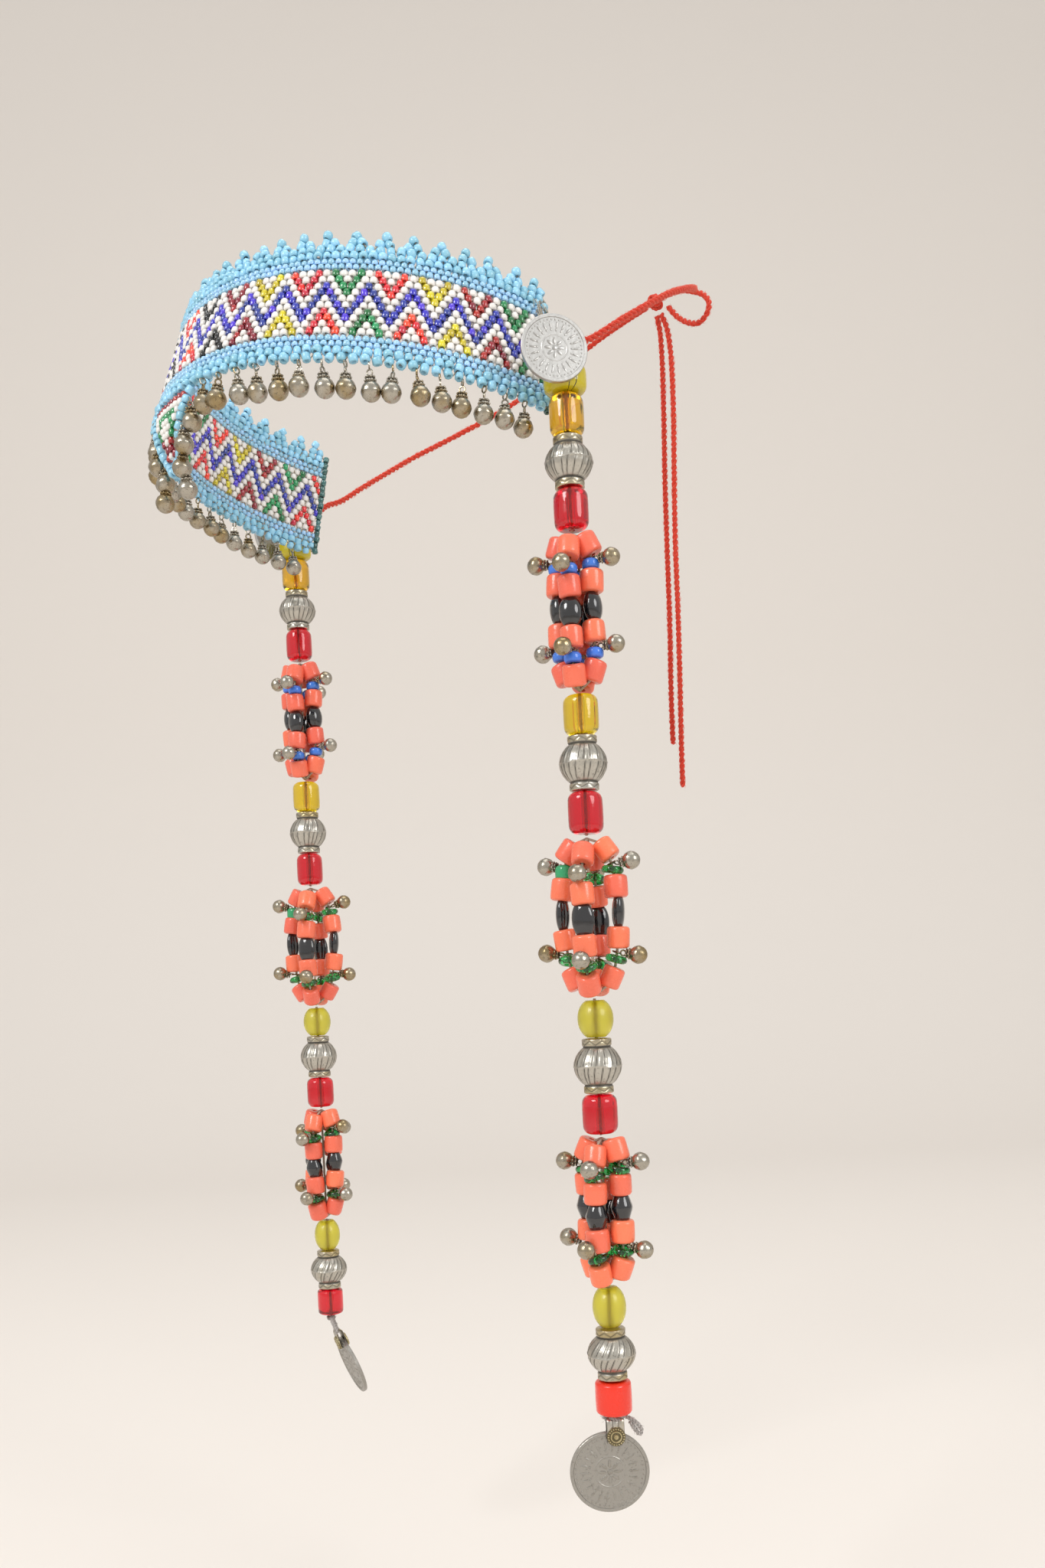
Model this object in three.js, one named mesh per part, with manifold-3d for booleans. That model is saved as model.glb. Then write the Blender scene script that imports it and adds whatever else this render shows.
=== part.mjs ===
// Beaded headband: a netted brow band with a bell fringe, a hanging brow tab, two temple coins with
// a bead strand below each, and wool cords that tie it behind the head.
// Millimetres, +Z up, the brow at -Y, the wearer's left at +X. The origin is the middle of the head,
// level with the temple coins.
import * as THREE from "three";
import { mergeVertices } from "three/addons/utils/BufferGeometryUtils.js";
import Module from "manifold-3d";

const wasm = await Module();
wasm.setup();

// ---- driving dimensions ----------------------------------------------------------------------
const TOUCH_GAP = 0.3; // air between two pieces that touch
const HINGE_GAP = 1.2; // air between two pieces that turn against each other

const BAND_HALF_WIDTH = 75.5; // middle of the head to the netting, at the temples
const BAND_REACH = 85; // middle of the head to the netting, at the brow
const BAND_END_ANGLE = 92.5; // degrees round from the brow to each end
const BAND_LEAN_TEMPLE = 7; // degrees the netting leans in over the head
const BAND_LEAN_BROW = 19;
const LOWER_EDGE_TEMPLE = -14.5; // height of the band's lower edge
const LOWER_EDGE_BROW = -2.2;
const COLUMN_SLANT = 0.0016; // radians back per millimetre up, as the columns stand square on the rows

const LOWER_BORDER_HEIGHT = 8.2;
const PANEL_HEIGHT = 21.2;
const UPPER_BORDER_HEIGHT = 7.2;
const PICOT_BASE_HEIGHT = 1.2;
const PICOT_HEIGHT = 4.9;
const PICOT_PITCH = 8.4;
const BORDER_THICKNESS = 2.8;
const PANEL_THICKNESS = 2.2;

const TAB_TOP_WIDTH = 22;
const TAB_TIP_WIDTH = 5;
const TAB_DROP = 17.5;
const TAB_BULGE = 1.8; // how far the tab's middle stands out from plumb
const EDGING_DIAMETER = 2.8;
const EDGING_TIP_DROP = 2.2;
const SLANT_ROOM = 0.35; // the tab's slanted sides come nearer than their width says

const BELL_BALL = 6; // diameter
const BELL_DROP = 9.7; // thread to the bottom of the ball
const BELL_NECK = 1.5; // radius of the granulated neck
const BELL_GAP = 0.8; // air between two bells of the fringe
const BELL_THREAD = 0.9; // side of the edge thread that joins the bells of one group
const BELL_THREAD_REACH = 0.8; // of that thread past the first and the last bell
const TAB_BELLS = 4; // along each slanted side of the tab
const TAB_BELLS_FROM = 0.25; // share of the tab's drop at which its first bell hangs
const BELL_STAGGER = 1; // how much nearer that bell the fringe may start, as it hangs higher

const STRAND_AIR = 3.15; // between the band and the painted bead that hangs beside it
const STRAND_BACK = 1.2; // how far behind the middle of the head they hang
const STRAND_TOP = 6; // temple coin's level to the top of the first bead
const STRAND_THREAD = 0.8; // radius of the thread bundle through a cluster
const STRAND_BORE = STRAND_THREAD + 0.1; // radius of the hole in each bead
const PAINTED_DIAMETER = 12.5;
const MELON_DIAMETER = 14.2;
const RED_DIAMETER = 10.2;
const END_DIAMETER = { left: 11, right: RED_DIAMETER };

const TEMPLE_COIN_DIAMETER = 19.8;
const PENDANT_COIN_DIAMETER = 23.6;
const COIN_THICKNESS = 1.4;
const COIN_RIM = 1.0;
const COIN_SINK = 0.25;
const COIN_LEAN_ROOM = 0.2; // more air behind a temple coin, for the facets of the bead
const COIN_TURN = 66; // degrees round from the brow that a temple coin faces
const COIN_AHEAD = 4.9; // how far a temple coin's middle is ahead of its strand
const COIN_HEIGHT = -4.4; // of a temple coin's middle
// Each pendant coin: the way it faces, its top below the top of its bail, how far its middle is
// ahead of its bail, and the degrees that its foot is set back.
const PENDANTS = {
  left: { turn: 57, drop: 4.2, ahead: 2.2, tilt: 0 },
  right: { turn: 12, drop: 10, ahead: 0, tilt: 20 },
};

const CORD_DIAMETER = 2.3;
const KNOT = [10, 113.5, 77];
const KNOT_DIAMETER = 8;
const TAIL_DROP = 190; // knot to the tails' ends

// ---- materials -------------------------------------------------------------------------------
const finish = (color, roughness, metalness = 0) =>
  new THREE.MeshStandardMaterial({ color, roughness, metalness });
const LOOKS = {
  sky: finish(0x7fc4e8, 0.25),
  white: finish(0xf2efea, 0.35),
  silver: finish(0xb9b2a4, 0.35, 1),
  yellow: finish(0xc9bf1c, 0.3),
  amber: finish(0xe0a010, 0.1),
  red: finish(0xe02030, 0.1),
  lime: finish(0xc6cf2a, 0.3),
  coral: finish(0xf0654a, 0.3),
  wool: finish(0xe04a40, 0.9),
};

// ---- small tools -----------------------------------------------------------------------------
const radians = THREE.MathUtils.degToRad;
const root = new THREE.Group();

function add(name, geometry, look) {
  const mesh = new THREE.Mesh(geometry, LOOKS[look]);
  mesh.name = name;
  root.add(mesh);
  return mesh;
}

function toSolid(geometry) {
  const bare = geometry.clone();
  bare.deleteAttribute("normal");
  bare.deleteAttribute("uv");
  const merged = mergeVertices(bare, 1e-4);
  const triVerts = new Uint32Array(merged.index.array);
  const vertProperties = new Float32Array(merged.attributes.position.array);
  return new wasm.Manifold(new wasm.Mesh({ numProp: 3, vertProperties, triVerts }));
}

function toGeometry(solid) {
  const mesh = solid.getMesh();
  const geometry = new THREE.BufferGeometry();
  geometry.setAttribute("position", new THREE.BufferAttribute(mesh.vertProperties, 3));
  geometry.setIndex(new THREE.BufferAttribute(mesh.triVerts, 1));
  return geometry;
}

const joined = (geometries) =>
  toGeometry(geometries.map(toSolid).reduce((whole, piece) => whole.add(piece)));

// A shape turned about Z from [radius, height] points. A closed outline repeats its first point.
function turned(points, sides) {
  const profile = points.map(([radius, height]) => new THREE.Vector2(radius, height));
  return new THREE.LatheGeometry(profile, sides).rotateX(Math.PI / 2);
}

// A round cord along a smooth curve through the points.
function cord(points, diameter, steps, sides = 8) {
  const section = new THREE.Shape();
  section.absarc(0, 0, diameter / 2, 0, 2 * Math.PI);
  const path = new THREE.CatmullRomCurve3(points.map((point) => new THREE.Vector3(...point)));
  return new THREE.ExtrudeGeometry(section, { steps, curveSegments: sides / 2, extrudePath: path });
}

// A box whose own X, Y and Z are replaced by shape(along, out, up), with along from 0 to 1.
function bentBox(steps, thickness, height, shape) {
  const box = new THREE.BoxGeometry(1, thickness, height, steps, 1, 1);
  const place = box.attributes.position;
  for (let i = 0; i < place.count; i += 1) {
    const point = shape(place.getX(i) + 0.5, place.getY(i), place.getZ(i) + height / 2);
    place.setXYZ(i, ...point);
  }
  return box;
}

// ---- the band --------------------------------------------------------------------------------
const endArcAngle = radians(BAND_END_ANGLE);

// A point on the netting: angle round from the brow, height up from the lower edge, distance out.
function bandPoint(edgeAngle, height, out) {
  const angle = edgeAngle + COLUMN_SLANT * height * Math.sin(edgeAngle);
  const along = [BAND_HALF_WIDTH * Math.sin(angle), -BAND_REACH * Math.cos(angle)];
  const outward = [Math.sin(angle) / BAND_HALF_WIDTH, -Math.cos(angle) / BAND_REACH];
  const length = Math.hypot(...outward);
  const leanBlend = Math.cos(angle) ** 2;
  const lean = radians(BAND_LEAN_TEMPLE + (BAND_LEAN_BROW - BAND_LEAN_TEMPLE) * leanBlend);
  const edge = LOWER_EDGE_TEMPLE + (LOWER_EDGE_BROW - LOWER_EDGE_TEMPLE) * Math.cos(edgeAngle);
  const reach = out * Math.cos(lean) - height * Math.sin(lean);
  return [
    along[0] + (outward[0] / length) * reach,
    along[1] + (outward[1] / length) * reach,
    edge + height * Math.cos(lean) + out * Math.sin(lean),
  ];
}

// Angle round the band for each distance along its lower edge, measured from the brow.
const ARC_TABLE = [0];
const ARC_TABLE_STEPS = 400;
for (let i = 1; i <= ARC_TABLE_STEPS; i += 1) {
  const here = bandPoint((i / ARC_TABLE_STEPS) * endArcAngle, 0, 0);
  const before = bandPoint(((i - 1) / ARC_TABLE_STEPS) * endArcAngle, 0, 0);
  ARC_TABLE.push(ARC_TABLE[i - 1] + Math.hypot(here[0] - before[0], here[1] - before[1]));
}
const HALF_ARC = ARC_TABLE[ARC_TABLE_STEPS];

function angleAt(arc) {
  const distance = Math.min(Math.abs(arc), HALF_ARC);
  let i = 1;
  while (i < ARC_TABLE_STEPS && ARC_TABLE[i] < distance) i += 1;
  const share = (distance - ARC_TABLE[i - 1]) / (ARC_TABLE[i] - ARC_TABLE[i - 1]);
  return (Math.sign(arc) * (i - 1 + share) * endArcAngle) / ARC_TABLE_STEPS;
}

const PICOTS = Math.round((2 * HALF_ARC) / PICOT_PITCH);

// A point on the facets that every strip of the band shares, one facet to each picot.
function facetPoint(along, height, out) {
  const facet = Math.min(Math.floor(along * PICOTS + 1e-6), PICOTS - 1);
  const ends = [facet, facet + 1].map((i) =>
    new THREE.Vector3(...bandPoint(angleAt((2 * (i / PICOTS) - 1) * HALF_ARC), height, out)),
  );
  return ends[0].lerp(ends[1], along * PICOTS - facet).toArray();
}

function bandStrip(from, height, thickness) {
  return bentBox(PICOTS, thickness, height, (along, across, up) =>
    facetPoint(along, from + up, -across),
  );
}

const panelFrom = LOWER_BORDER_HEIGHT + TOUCH_GAP;
const upperFrom = panelFrom + PANEL_HEIGHT + TOUCH_GAP;
const picotFrom = upperFrom + UPPER_BORDER_HEIGHT + TOUCH_GAP;
add("lower_border", bandStrip(0, LOWER_BORDER_HEIGHT, BORDER_THICKNESS), "sky");
add("pattern_panel", bandStrip(panelFrom, PANEL_HEIGHT, PANEL_THICKNESS), "white");
add("upper_border", bandStrip(upperFrom, UPPER_BORDER_HEIGHT, BORDER_THICKNESS), "sky");

add(
  "picot_edge",
  bentBox(2 * PICOTS, BORDER_THICKNESS, PICOT_HEIGHT, (along, across, up) => {
    const atTip = Math.round(along * 2 * PICOTS) % 2 === 1;
    const height = up > PICOT_HEIGHT / 2 ? (atTip ? PICOT_HEIGHT : PICOT_BASE_HEIGHT) : 0;
    return facetPoint(along, picotFrom + height, -across);
  }),
  "sky",
);

// ---- bells -----------------------------------------------------------------------------------
// A ball with a granulated neck and a ring, hanging from the origin.
function bell() {
  const ball = BELL_BALL / 2;
  const middle = -BELL_DROP + ball;
  const neckFoot = middle + ball * 0.85;
  return turned(
    [
      [0, -BELL_DROP],
      [ball * 0.9, middle - ball * 0.4],
      [ball * 0.9, middle + ball * 0.4],
      [BELL_NECK, neckFoot],
      [BELL_NECK, neckFoot + 1.8],
      [0, BELL_THREAD / 2],
    ],
    6,
  );
}

// Bells on a thread that runs along the band's lower edge between two distances from the brow.
function fringeGroup(side, firstArc, count) {
  const drop = HINGE_GAP + BELL_THREAD;
  const lastArc = firstArc + (count - 1) * bellPitch;
  const edge = (arc) => {
    const [x, y, z] = bandPoint(angleAt(arc), 0, 0);
    return [x, y, z - drop];
  };
  const steps = 2 * (count - 1);
  const thread = bentBox(steps, BELL_THREAD, BELL_THREAD, (along, across, up) => {
    const arc = firstArc - BELL_THREAD_REACH + along * (lastArc - firstArc + 2 * BELL_THREAD_REACH);
    const [x, y, z] = edge(side * arc);
    const angle = angleAt(side * arc);
    const out = -across * side;
    return [x + Math.sin(angle) * out, y - Math.cos(angle) * out, z + up];
  });
  const bells = Array.from({ length: count }, (_, i) => {
    const [x, y, z] = edge(side * (firstArc + i * bellPitch));
    return bell().translate(x, y, z + BELL_THREAD / 2);
  });
  return joined([thread, ...bells]);
}

// ---- the brow tab ----------------------------------------------------------------------------
// across runs from -1 to 1 over the tab's width, down from 0 at the band to 1 at the tip.
function tabPoint(across, down, out, margin = 0) {
  const halfWidth = THREE.MathUtils.lerp(TAB_TOP_WIDTH, TAB_TIP_WIDTH, down) / 2 + margin;
  const x = across * halfWidth;
  const curve = Math.sqrt(1 - (x / BAND_HALF_WIDTH) ** 2);
  const bulge = TAB_BULGE * Math.sin(Math.PI * Math.min(down, 1));
  return [x, -BAND_REACH * curve - bulge - out, LOWER_EDGE_BROW - HINGE_GAP - down * TAB_DROP];
}

const TAB_STEPS = 6;
const tabBox = new THREE.BoxGeometry(2, PANEL_THICKNESS, 1, TAB_STEPS, 1, TAB_STEPS);
const tabPlace = tabBox.attributes.position;
for (let i = 0; i < tabPlace.count; i += 1) {
  const point = tabPoint(tabPlace.getX(i), 0.5 - tabPlace.getZ(i), -tabPlace.getY(i));
  tabPlace.setXYZ(i, ...point);
}
add("brow_tab", tabBox, "white");

const edgingOff = EDGING_DIAMETER / 2 + TOUCH_GAP + SLANT_ROOM;
const edgingDown = [0.03, 0.35, 0.7, 1];
const edgingPath = [
  ...edgingDown.map((down) => tabPoint(-1, down, 0, edgingOff)),
  [0, tabPoint(0, 1, 0)[1], tabPoint(0, 1, 0)[2] - edgingOff - EDGING_TIP_DROP],
  ...edgingDown.toReversed().map((down) => tabPoint(1, down, 0, edgingOff)),
];
add("tab_edging", cord(edgingPath, EDGING_DIAMETER, 20, 6), "sky");

// Bells on a thread down one slanted side of the tab, outside the edging.
const tabBellOff = edgingOff + EDGING_DIAMETER / 2 + TOUCH_GAP + BELL_THREAD;
function tabBells(side) {
  const lowest = 1 + (EDGING_TIP_DROP + EDGING_DIAMETER) / TAB_DROP;
  const spots = Array.from({ length: TAB_BELLS }, (_, i) => {
    const down = THREE.MathUtils.lerp(TAB_BELLS_FROM, lowest, i / (TAB_BELLS - 1));
    const [x, y, z] = tabPoint(side, Math.min(down, 1), 0, tabBellOff);
    return [x, y, z - Math.max(down - 1, 0) * TAB_DROP];
  });
  const thread = cord(spots, BELL_THREAD * 1.2, 9, 6);
  return joined([thread, ...spots.map(([x, y, z]) => bell().translate(x, y, z))]);
}
add("tab_bells_left", tabBells(1), "silver");
add("tab_bells_right", tabBells(-1), "silver");

// ---- the bell fringe ---------------------------------------------------------------------------
const bellPitch = BELL_BALL + BELL_GAP;
const fringeStart = tabPoint(1, TAB_BELLS_FROM, 0, tabBellOff)[0] + BELL_BALL - BELL_STAGGER;
const SIDES = [["left", 1], ["right", -1]];
const GROUPS = ["brow", "middle", "temple"];
for (const [sideName, side] of SIDES) {
  let arc = fringeStart;
  let bellsLeft = Math.floor((HALF_ARC - fringeStart) / bellPitch);
  GROUPS.forEach((groupName, i) => {
    const count = Math.ceil(bellsLeft / (GROUPS.length - i));
    add(`bells_${sideName}_${groupName}`, fringeGroup(side, arc, count), "silver");
    arc += count * bellPitch;
    bellsLeft -= count;
  });
}

// ---- coins -----------------------------------------------------------------------------------
const COIN_SIDES = 18;

// A disc with a raised rim on both faces, its axis along Z.
function coin(diameter) {
  const radius = diameter / 2;
  const half = COIN_THICKNESS / 2;
  return turned(
    [
      [0, COIN_SINK - half],
      [radius - COIN_RIM, COIN_SINK - half],
      [radius - COIN_RIM, -half],
      [radius, -half],
      [radius, half],
      [radius - COIN_RIM, half],
      [radius - COIN_RIM, half - COIN_SINK],
      [0, half - COIN_SINK],
    ],
    COIN_SIDES,
  );
}

// Turns something that faces +Z to face a direction given in degrees round from the brow.
function faceOut(geometry, side, turn) {
  return geometry.rotateX(Math.PI / 2).rotateZ(side * radians(turn));
}

const strandX = BAND_HALF_WIDTH + BORDER_THICKNESS / 2 + STRAND_AIR + PAINTED_DIAMETER / 2;
const coinStandOff = PAINTED_DIAMETER / 2 + TOUCH_GAP + COIN_THICKNESS / 2 + COIN_LEAN_ROOM;
for (const [sideName, side] of SIDES) {
  const turn = radians(COIN_TURN);
  const x = side * (strandX + coinStandOff * Math.sin(turn) - COIN_AHEAD * Math.cos(turn));
  const y = STRAND_BACK - coinStandOff * Math.cos(turn) - COIN_AHEAD * Math.sin(turn);
  const disc = faceOut(coin(TEMPLE_COIN_DIAMETER), side, COIN_TURN).translate(x, y, COIN_HEIGHT);
  add(`temple_coin_${sideName}`, disc, "silver");
}

// ---- strand beads ----------------------------------------------------------------------------
const BEAD_SIDES = 8;

// A bored bead with rounded shoulders. flat is the share of the radius that its end face keeps.
function barrel(diameter, length, flat = 0.6, shoulder = 0.16) {
  const radius = diameter / 2;
  const half = length / 2;
  const outline = [
    [STRAND_BORE, -half],
    [radius * flat, -half],
    [radius, -half + length * shoulder],
    [radius, half - length * shoulder],
    [radius * flat, half],
    [STRAND_BORE, half],
    [STRAND_BORE, -half],
  ];
  return turned(outline, BEAD_SIDES);
}

// A ribbed metal bead: two stamped collars and a round body between them.
function melon(diameter, length) {
  const radius = diameter / 2;
  const half = length / 2;
  const collar = radius * 0.62;
  const waist = radius * 0.55;
  const outline = [
    [STRAND_BORE, -half],
    [collar * 0.92, -half],
    [collar, -half + 0.6],
    [collar, -half + 2.3],
    [waist, -half + 2.9],
    [radius * 0.86, -half + length * 0.3],
    [radius, 0],
    [radius * 0.86, half - length * 0.3],
    [waist, half - 2.9],
    [collar, half - 2.3],
    [collar, half - 0.6],
    [collar * 0.92, half],
    [STRAND_BORE, half],
    [STRAND_BORE, -half],
  ];
  return turned(outline, BEAD_SIDES);
}

// ---- clusters --------------------------------------------------------------------------------
const CORAL_DIAMETER = 7;
const CORAL_LENGTH = 6.6;
const DARK_DIAMETER = 6.6;
const DARK_LENGTH = 7.2;
const LOOP_THREAD = 1.2; // thread, rings and small beads of a loop
const LOOP_BELL_REACH = 8.8; // from the loop's thread to the far side of a bell that stands out from it
const LOOP_BELL_BALL = 5.4; // diameter
// Places down a loop, as shares of the cluster's length.
const CORAL_SHARES = [0.1, 0.34, 0.66, 0.9];
const BELL_SHARES = [0.22, 0.78];
const LOOP_SIDES = 5;

// One loop's beads on their thread, turned as a single piece: corals with a dark bead between.
function loopBeads(length) {
  const thread = LOOP_THREAD / 2;
  const points = [[0, -0.5 * CORAL_LENGTH - length * (CORAL_SHARES[3] - 0.5)]];
  const beads = [...CORAL_SHARES, 0.5].sort((one, other) => other - one);
  beads.forEach((share, i) => {
    const middle = length * (0.5 - share);
    const [radius, half] =
      share === 0.5 ? [DARK_DIAMETER / 2, DARK_LENGTH / 2] : [CORAL_DIAMETER / 2, CORAL_LENGTH / 2];
    if (i > 0) points.push([thread, middle - half]);
    points.push([radius, middle - half * 0.6], [radius, middle + half * 0.6]);
    if (i < beads.length - 1) points.push([thread, middle + half]);
  });
  points.push([0, 0.5 * CORAL_LENGTH + length * (0.5 - CORAL_SHARES[0])]);
  return turned(points, LOOP_SIDES);
}

// A plain ball on a stem, standing up from the origin.
function loopBell() {
  const ball = LOOP_BELL_BALL / 2;
  const middle = LOOP_BELL_REACH - ball;
  return turned(
    [
      [0, 0],
      [LOOP_THREAD / 2, middle - ball],
      [ball, middle - ball * 0.3],
      [ball, middle + ball * 0.3],
      [0, LOOP_BELL_REACH],
    ],
    LOOP_SIDES,
  );
}

// A straight square-section link between two points, for the thread and the bell rings.
function link(from, to, width) {
  const start = new THREE.Vector3(...from);
  const end = new THREE.Vector3(...to);
  const bar = new THREE.BoxGeometry(width, width, start.distanceTo(end));
  const aim = new THREE.Object3D();
  aim.position.copy(start).lerp(end, 0.5);
  aim.lookAt(end);
  aim.updateMatrix();
  return bar.applyMatrix4(aim.matrix);
}

// Four thread loops round a core. Each loop holds corals, a dark bead and two bells on rings.
// spread is how far the loops stand off the core at their middle.
function cluster(length, spread, turn) {
  const core = new THREE.CylinderGeometry(STRAND_THREAD, STRAND_THREAD, length, 4);
  const pieces = [core.rotateX(Math.PI / 2)];
  const inner = CORAL_DIAMETER * 0.73; // neighbours round the core just clear each other
  const outAt = (share) => inner + (spread - inner) * Math.sin(Math.PI * share);
  for (let i = 0; i < 4; i += 1) {
    const round = radians(turn + 90 * i);
    const place = (share, out) => [
      out * Math.cos(round),
      out * Math.sin(round),
      length * (0.5 - share),
    ];
    const beads = loopBeads(length);
    const spot = beads.attributes.position;
    for (let v = 0; v < spot.count; v += 1) {
      const [x, y] = place(0, outAt(0.5 - spot.getZ(v) / length));
      spot.setXY(v, spot.getX(v) + x, spot.getY(v) + y);
    }
    pieces.push(beads);
    for (const share of [CORAL_SHARES[0], CORAL_SHARES[3]]) {
      pieces.push(link(place(share, 0), place(share, outAt(share) - 1), LOOP_THREAD));
    }
    for (const share of BELL_SHARES) {
      const stood = loopBell().rotateY(Math.PI / 2).rotateZ(round);
      pieces.push(stood.translate(...place(share, outAt(share))));
    }
  }
  return joined(pieces);
}

// ---- pendants --------------------------------------------------------------------------------
const STRAP_WIDTH = 5.2;
const STRAP_THICKNESS = 0.8;
const STRAP_ABOVE_COIN = 4.2;
const STRAP_OVER_COIN = 3.2;
const BOSS_RADIUS = 2.7;
const BOSS_THICKNESS = 0.5;

// A strap folded over the thread loop, its two legs and their bosses holding the coin's top between
// them. The origin is the top of the bail, and length runs down to the coin's top.
function bail(length) {
  const inner = COIN_THICKNESS / 2 + TOUCH_GAP;
  const outer = inner + STRAP_THICKNESS;
  const crown = STRAP_ABOVE_COIN - length;
  const foot = -length - STRAP_OVER_COIN;
  const outline = [
    [-outer, foot], [-outer, crown], [outer, crown], [outer, foot],
    [inner, foot], [inner, TOUCH_GAP - length], [-inner, TOUCH_GAP - length], [-inner, foot],
  ];
  const section = new THREE.Shape(outline.map(([across, up]) => new THREE.Vector2(across, up)));
  const strap = new THREE.ExtrudeGeometry(section, { depth: STRAP_WIDTH, bevelEnabled: false });
  const standing = new THREE.Matrix4().makeBasis(
    new THREE.Vector3(0, 1, 0), new THREE.Vector3(0, 0, 1), new THREE.Vector3(1, 0, 0),
  );
  strap.translate(0, 0, -STRAP_WIDTH / 2).applyMatrix4(standing);
  const bosses = [1, -1].map((face) => {
    const boss = new THREE.CylinderGeometry(BOSS_RADIUS, BOSS_RADIUS, 2 * BOSS_THICKNESS, 10);
    return boss.translate(0, face * outer, foot + BOSS_RADIUS - 0.7);
  });
  const pieces = [strap, ...bosses];
  if (crown < 0) {
    const loop = new THREE.CylinderGeometry(STRAND_BORE, STRAND_BORE, 0.5 - crown, 8);
    pieces.push(loop.rotateX(Math.PI / 2).translate(0, 0, (crown - 0.5) / 2));
  }
  return joined(pieces);
}

// ---- the two strands -------------------------------------------------------------------------
// Each piece hangs below the one before it: a hinged piece after HINGE_GAP, a threaded neighbour after
// TOUCH_GAP. flat and shoulder shape a barrel's ends, spread and turn lay out a cluster's loops.
const STRAND = [
  { name: "painted_bead", look: "yellow", diameter: PAINTED_DIAMETER, length: 8.4, flat: 0.5, shoulder: 0.2 },
  { name: "amber_barrel", look: "amber", diameter: 10.4, length: 11.9 },
  { name: "melon_bead_1", look: "silver", diameter: MELON_DIAMETER, length: 15.4, ribbed: true },
  { name: "red_barrel_1", look: "red", diameter: RED_DIAMETER, length: 11.8 },
  { name: "coral_cluster_1", look: "coral", length: 46.4, spread: 5.2, turn: 20 },
  { name: "yellow_barrel", look: "amber", diameter: 10.5, length: 11.7 },
  { name: "melon_bead_2", look: "silver", diameter: MELON_DIAMETER, length: 16.4, ribbed: true },
  { name: "red_barrel_2", look: "red", diameter: RED_DIAMETER, length: 12.3 },
  { name: "coral_cluster_2", look: "coral", length: 46.8, spread: 8.5, turn: 45 },
  { name: "olive_bead_1", look: "lime", diameter: 10.7, length: 10.9, flat: 0.5, shoulder: 0.22 },
  { name: "melon_bead_3", look: "silver", diameter: MELON_DIAMETER, length: 16.3, ribbed: true },
  { name: "red_barrel_3", look: "red", diameter: RED_DIAMETER, length: 11.6 },
  { name: "coral_cluster_3", look: "coral", length: 43, spread: 5.4, turn: 10 },
  { name: "olive_bead_2", look: "lime", diameter: 10, length: 11.6, flat: 0.5, shoulder: 0.22 },
  { name: "melon_bead_4", look: "silver", diameter: MELON_DIAMETER, length: 15.2, ribbed: true },
  { name: "end_bead", length: 9.8 },
];
const END_LOOK = { left: "coral", right: "red" };

function strandPiece(piece, sideName) {
  if (piece.spread) return cluster(piece.length, piece.spread, piece.turn);
  if (piece.ribbed) return melon(piece.diameter, piece.length);
  const diameter = piece.diameter ?? END_DIAMETER[sideName];
  return barrel(diameter, piece.length, piece.flat, piece.shoulder);
}

for (const [sideName, side] of SIDES) {
  const strand = new THREE.Group();
  strand.position.set(side * strandX, STRAND_BACK, 0);
  root.add(strand);
  const hang = (name, geometry, look, height) => {
    const mesh = add(`${name}_${sideName}`, geometry, look);
    mesh.position.z = height;
    strand.add(mesh);
  };
  let top = STRAND_TOP;
  STRAND.forEach((piece, i) => {
    const hinged = i > 0 && (piece.spread || STRAND[i - 1].spread);
    if (i > 0) top += hinged ? HINGE_GAP : TOUCH_GAP;
    const look = piece.look ?? END_LOOK[sideName];
    hang(piece.name, strandPiece(piece, sideName), look, -top - piece.length / 2);
    top += piece.length;
  });
  top += HINGE_GAP;
  const { turn, drop, ahead, tilt } = PENDANTS[sideName];
  const swung = (geometry) => geometry.rotateX(radians(tilt)).rotateZ(side * radians(turn));
  hang("pendant_bail", swung(bail(drop)), "silver", -top);
  const disc = coin(PENDANT_COIN_DIAMETER).rotateX(Math.PI / 2);
  disc.translate(-side * ahead, 0, -drop - PENDANT_COIN_DIAMETER / 2);
  hang("pendant_coin", swung(disc), "silver", -top);
}

// ---- tie cords -------------------------------------------------------------------------------
// From behind each coin, round the side of the head and up to the knot at the back.
const TIE_LEFT = [
  [75.9, 7.9, 3.4], [77.4, 12, 6.6], [79, 20, 10.7], [79.8, 30, 17.9], [79, 42, 26.1],
  [76.5, 54, 34.1], [72, 66, 41.2], [66, 76, 47.1], [58.5, 85.5, 52.9], [50, 94, 59.1],
  [40.5, 101, 65.5], [30, 107, 71.1], [20, 111, 75.4], [14.4, 112.9, 77],
];
const TIE_RIGHT = [
  [-75.9, 7.9, 3.4], [-77.4, 12, 6.6], [-79, 20, 10.7], [-79.8, 30, 17.9], [-79, 42, 26.1],
  [-76.5, 54, 34.1], [-72, 66, 41.2], [-66, 76, 47.1], [-58.5, 85.5, 52.9], [-50, 94, 59.1],
  [-40.5, 101, 65.5], [-30, 106.8, 70.8], [-18, 111, 75], [-6, 113, 76.8], [5.6, 113.4, 77],
];
add("tie_left", cord(TIE_LEFT, CORD_DIAMETER, 26), "wool");
add("tie_right", cord(TIE_RIGHT, CORD_DIAMETER, 28), "wool");

const knot = new THREE.SphereGeometry(KNOT_DIAMETER / 2, 10, 7).translate(...KNOT);
add("tie_knot", knot, "wool");

// One bow loop out to the wearer's left, and the two tails hanging down to the nape.
const BOW_LOOP = [
  [13.6, 115.4, 79], [18, 118, 79.6], [23.5, 119.8, 77.2], [29, 120.8, 73.6], [31.6, 121, 69.4],
  [30.6, 120.4, 65.4], [27, 119.6, 63.4], [22, 118.6, 65.4], [17.6, 117.2, 69.4], [14.7, 115.8, 74],
];
add("bow_loop", cord(BOW_LOOP, CORD_DIAMETER, 22), "wool");

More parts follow.
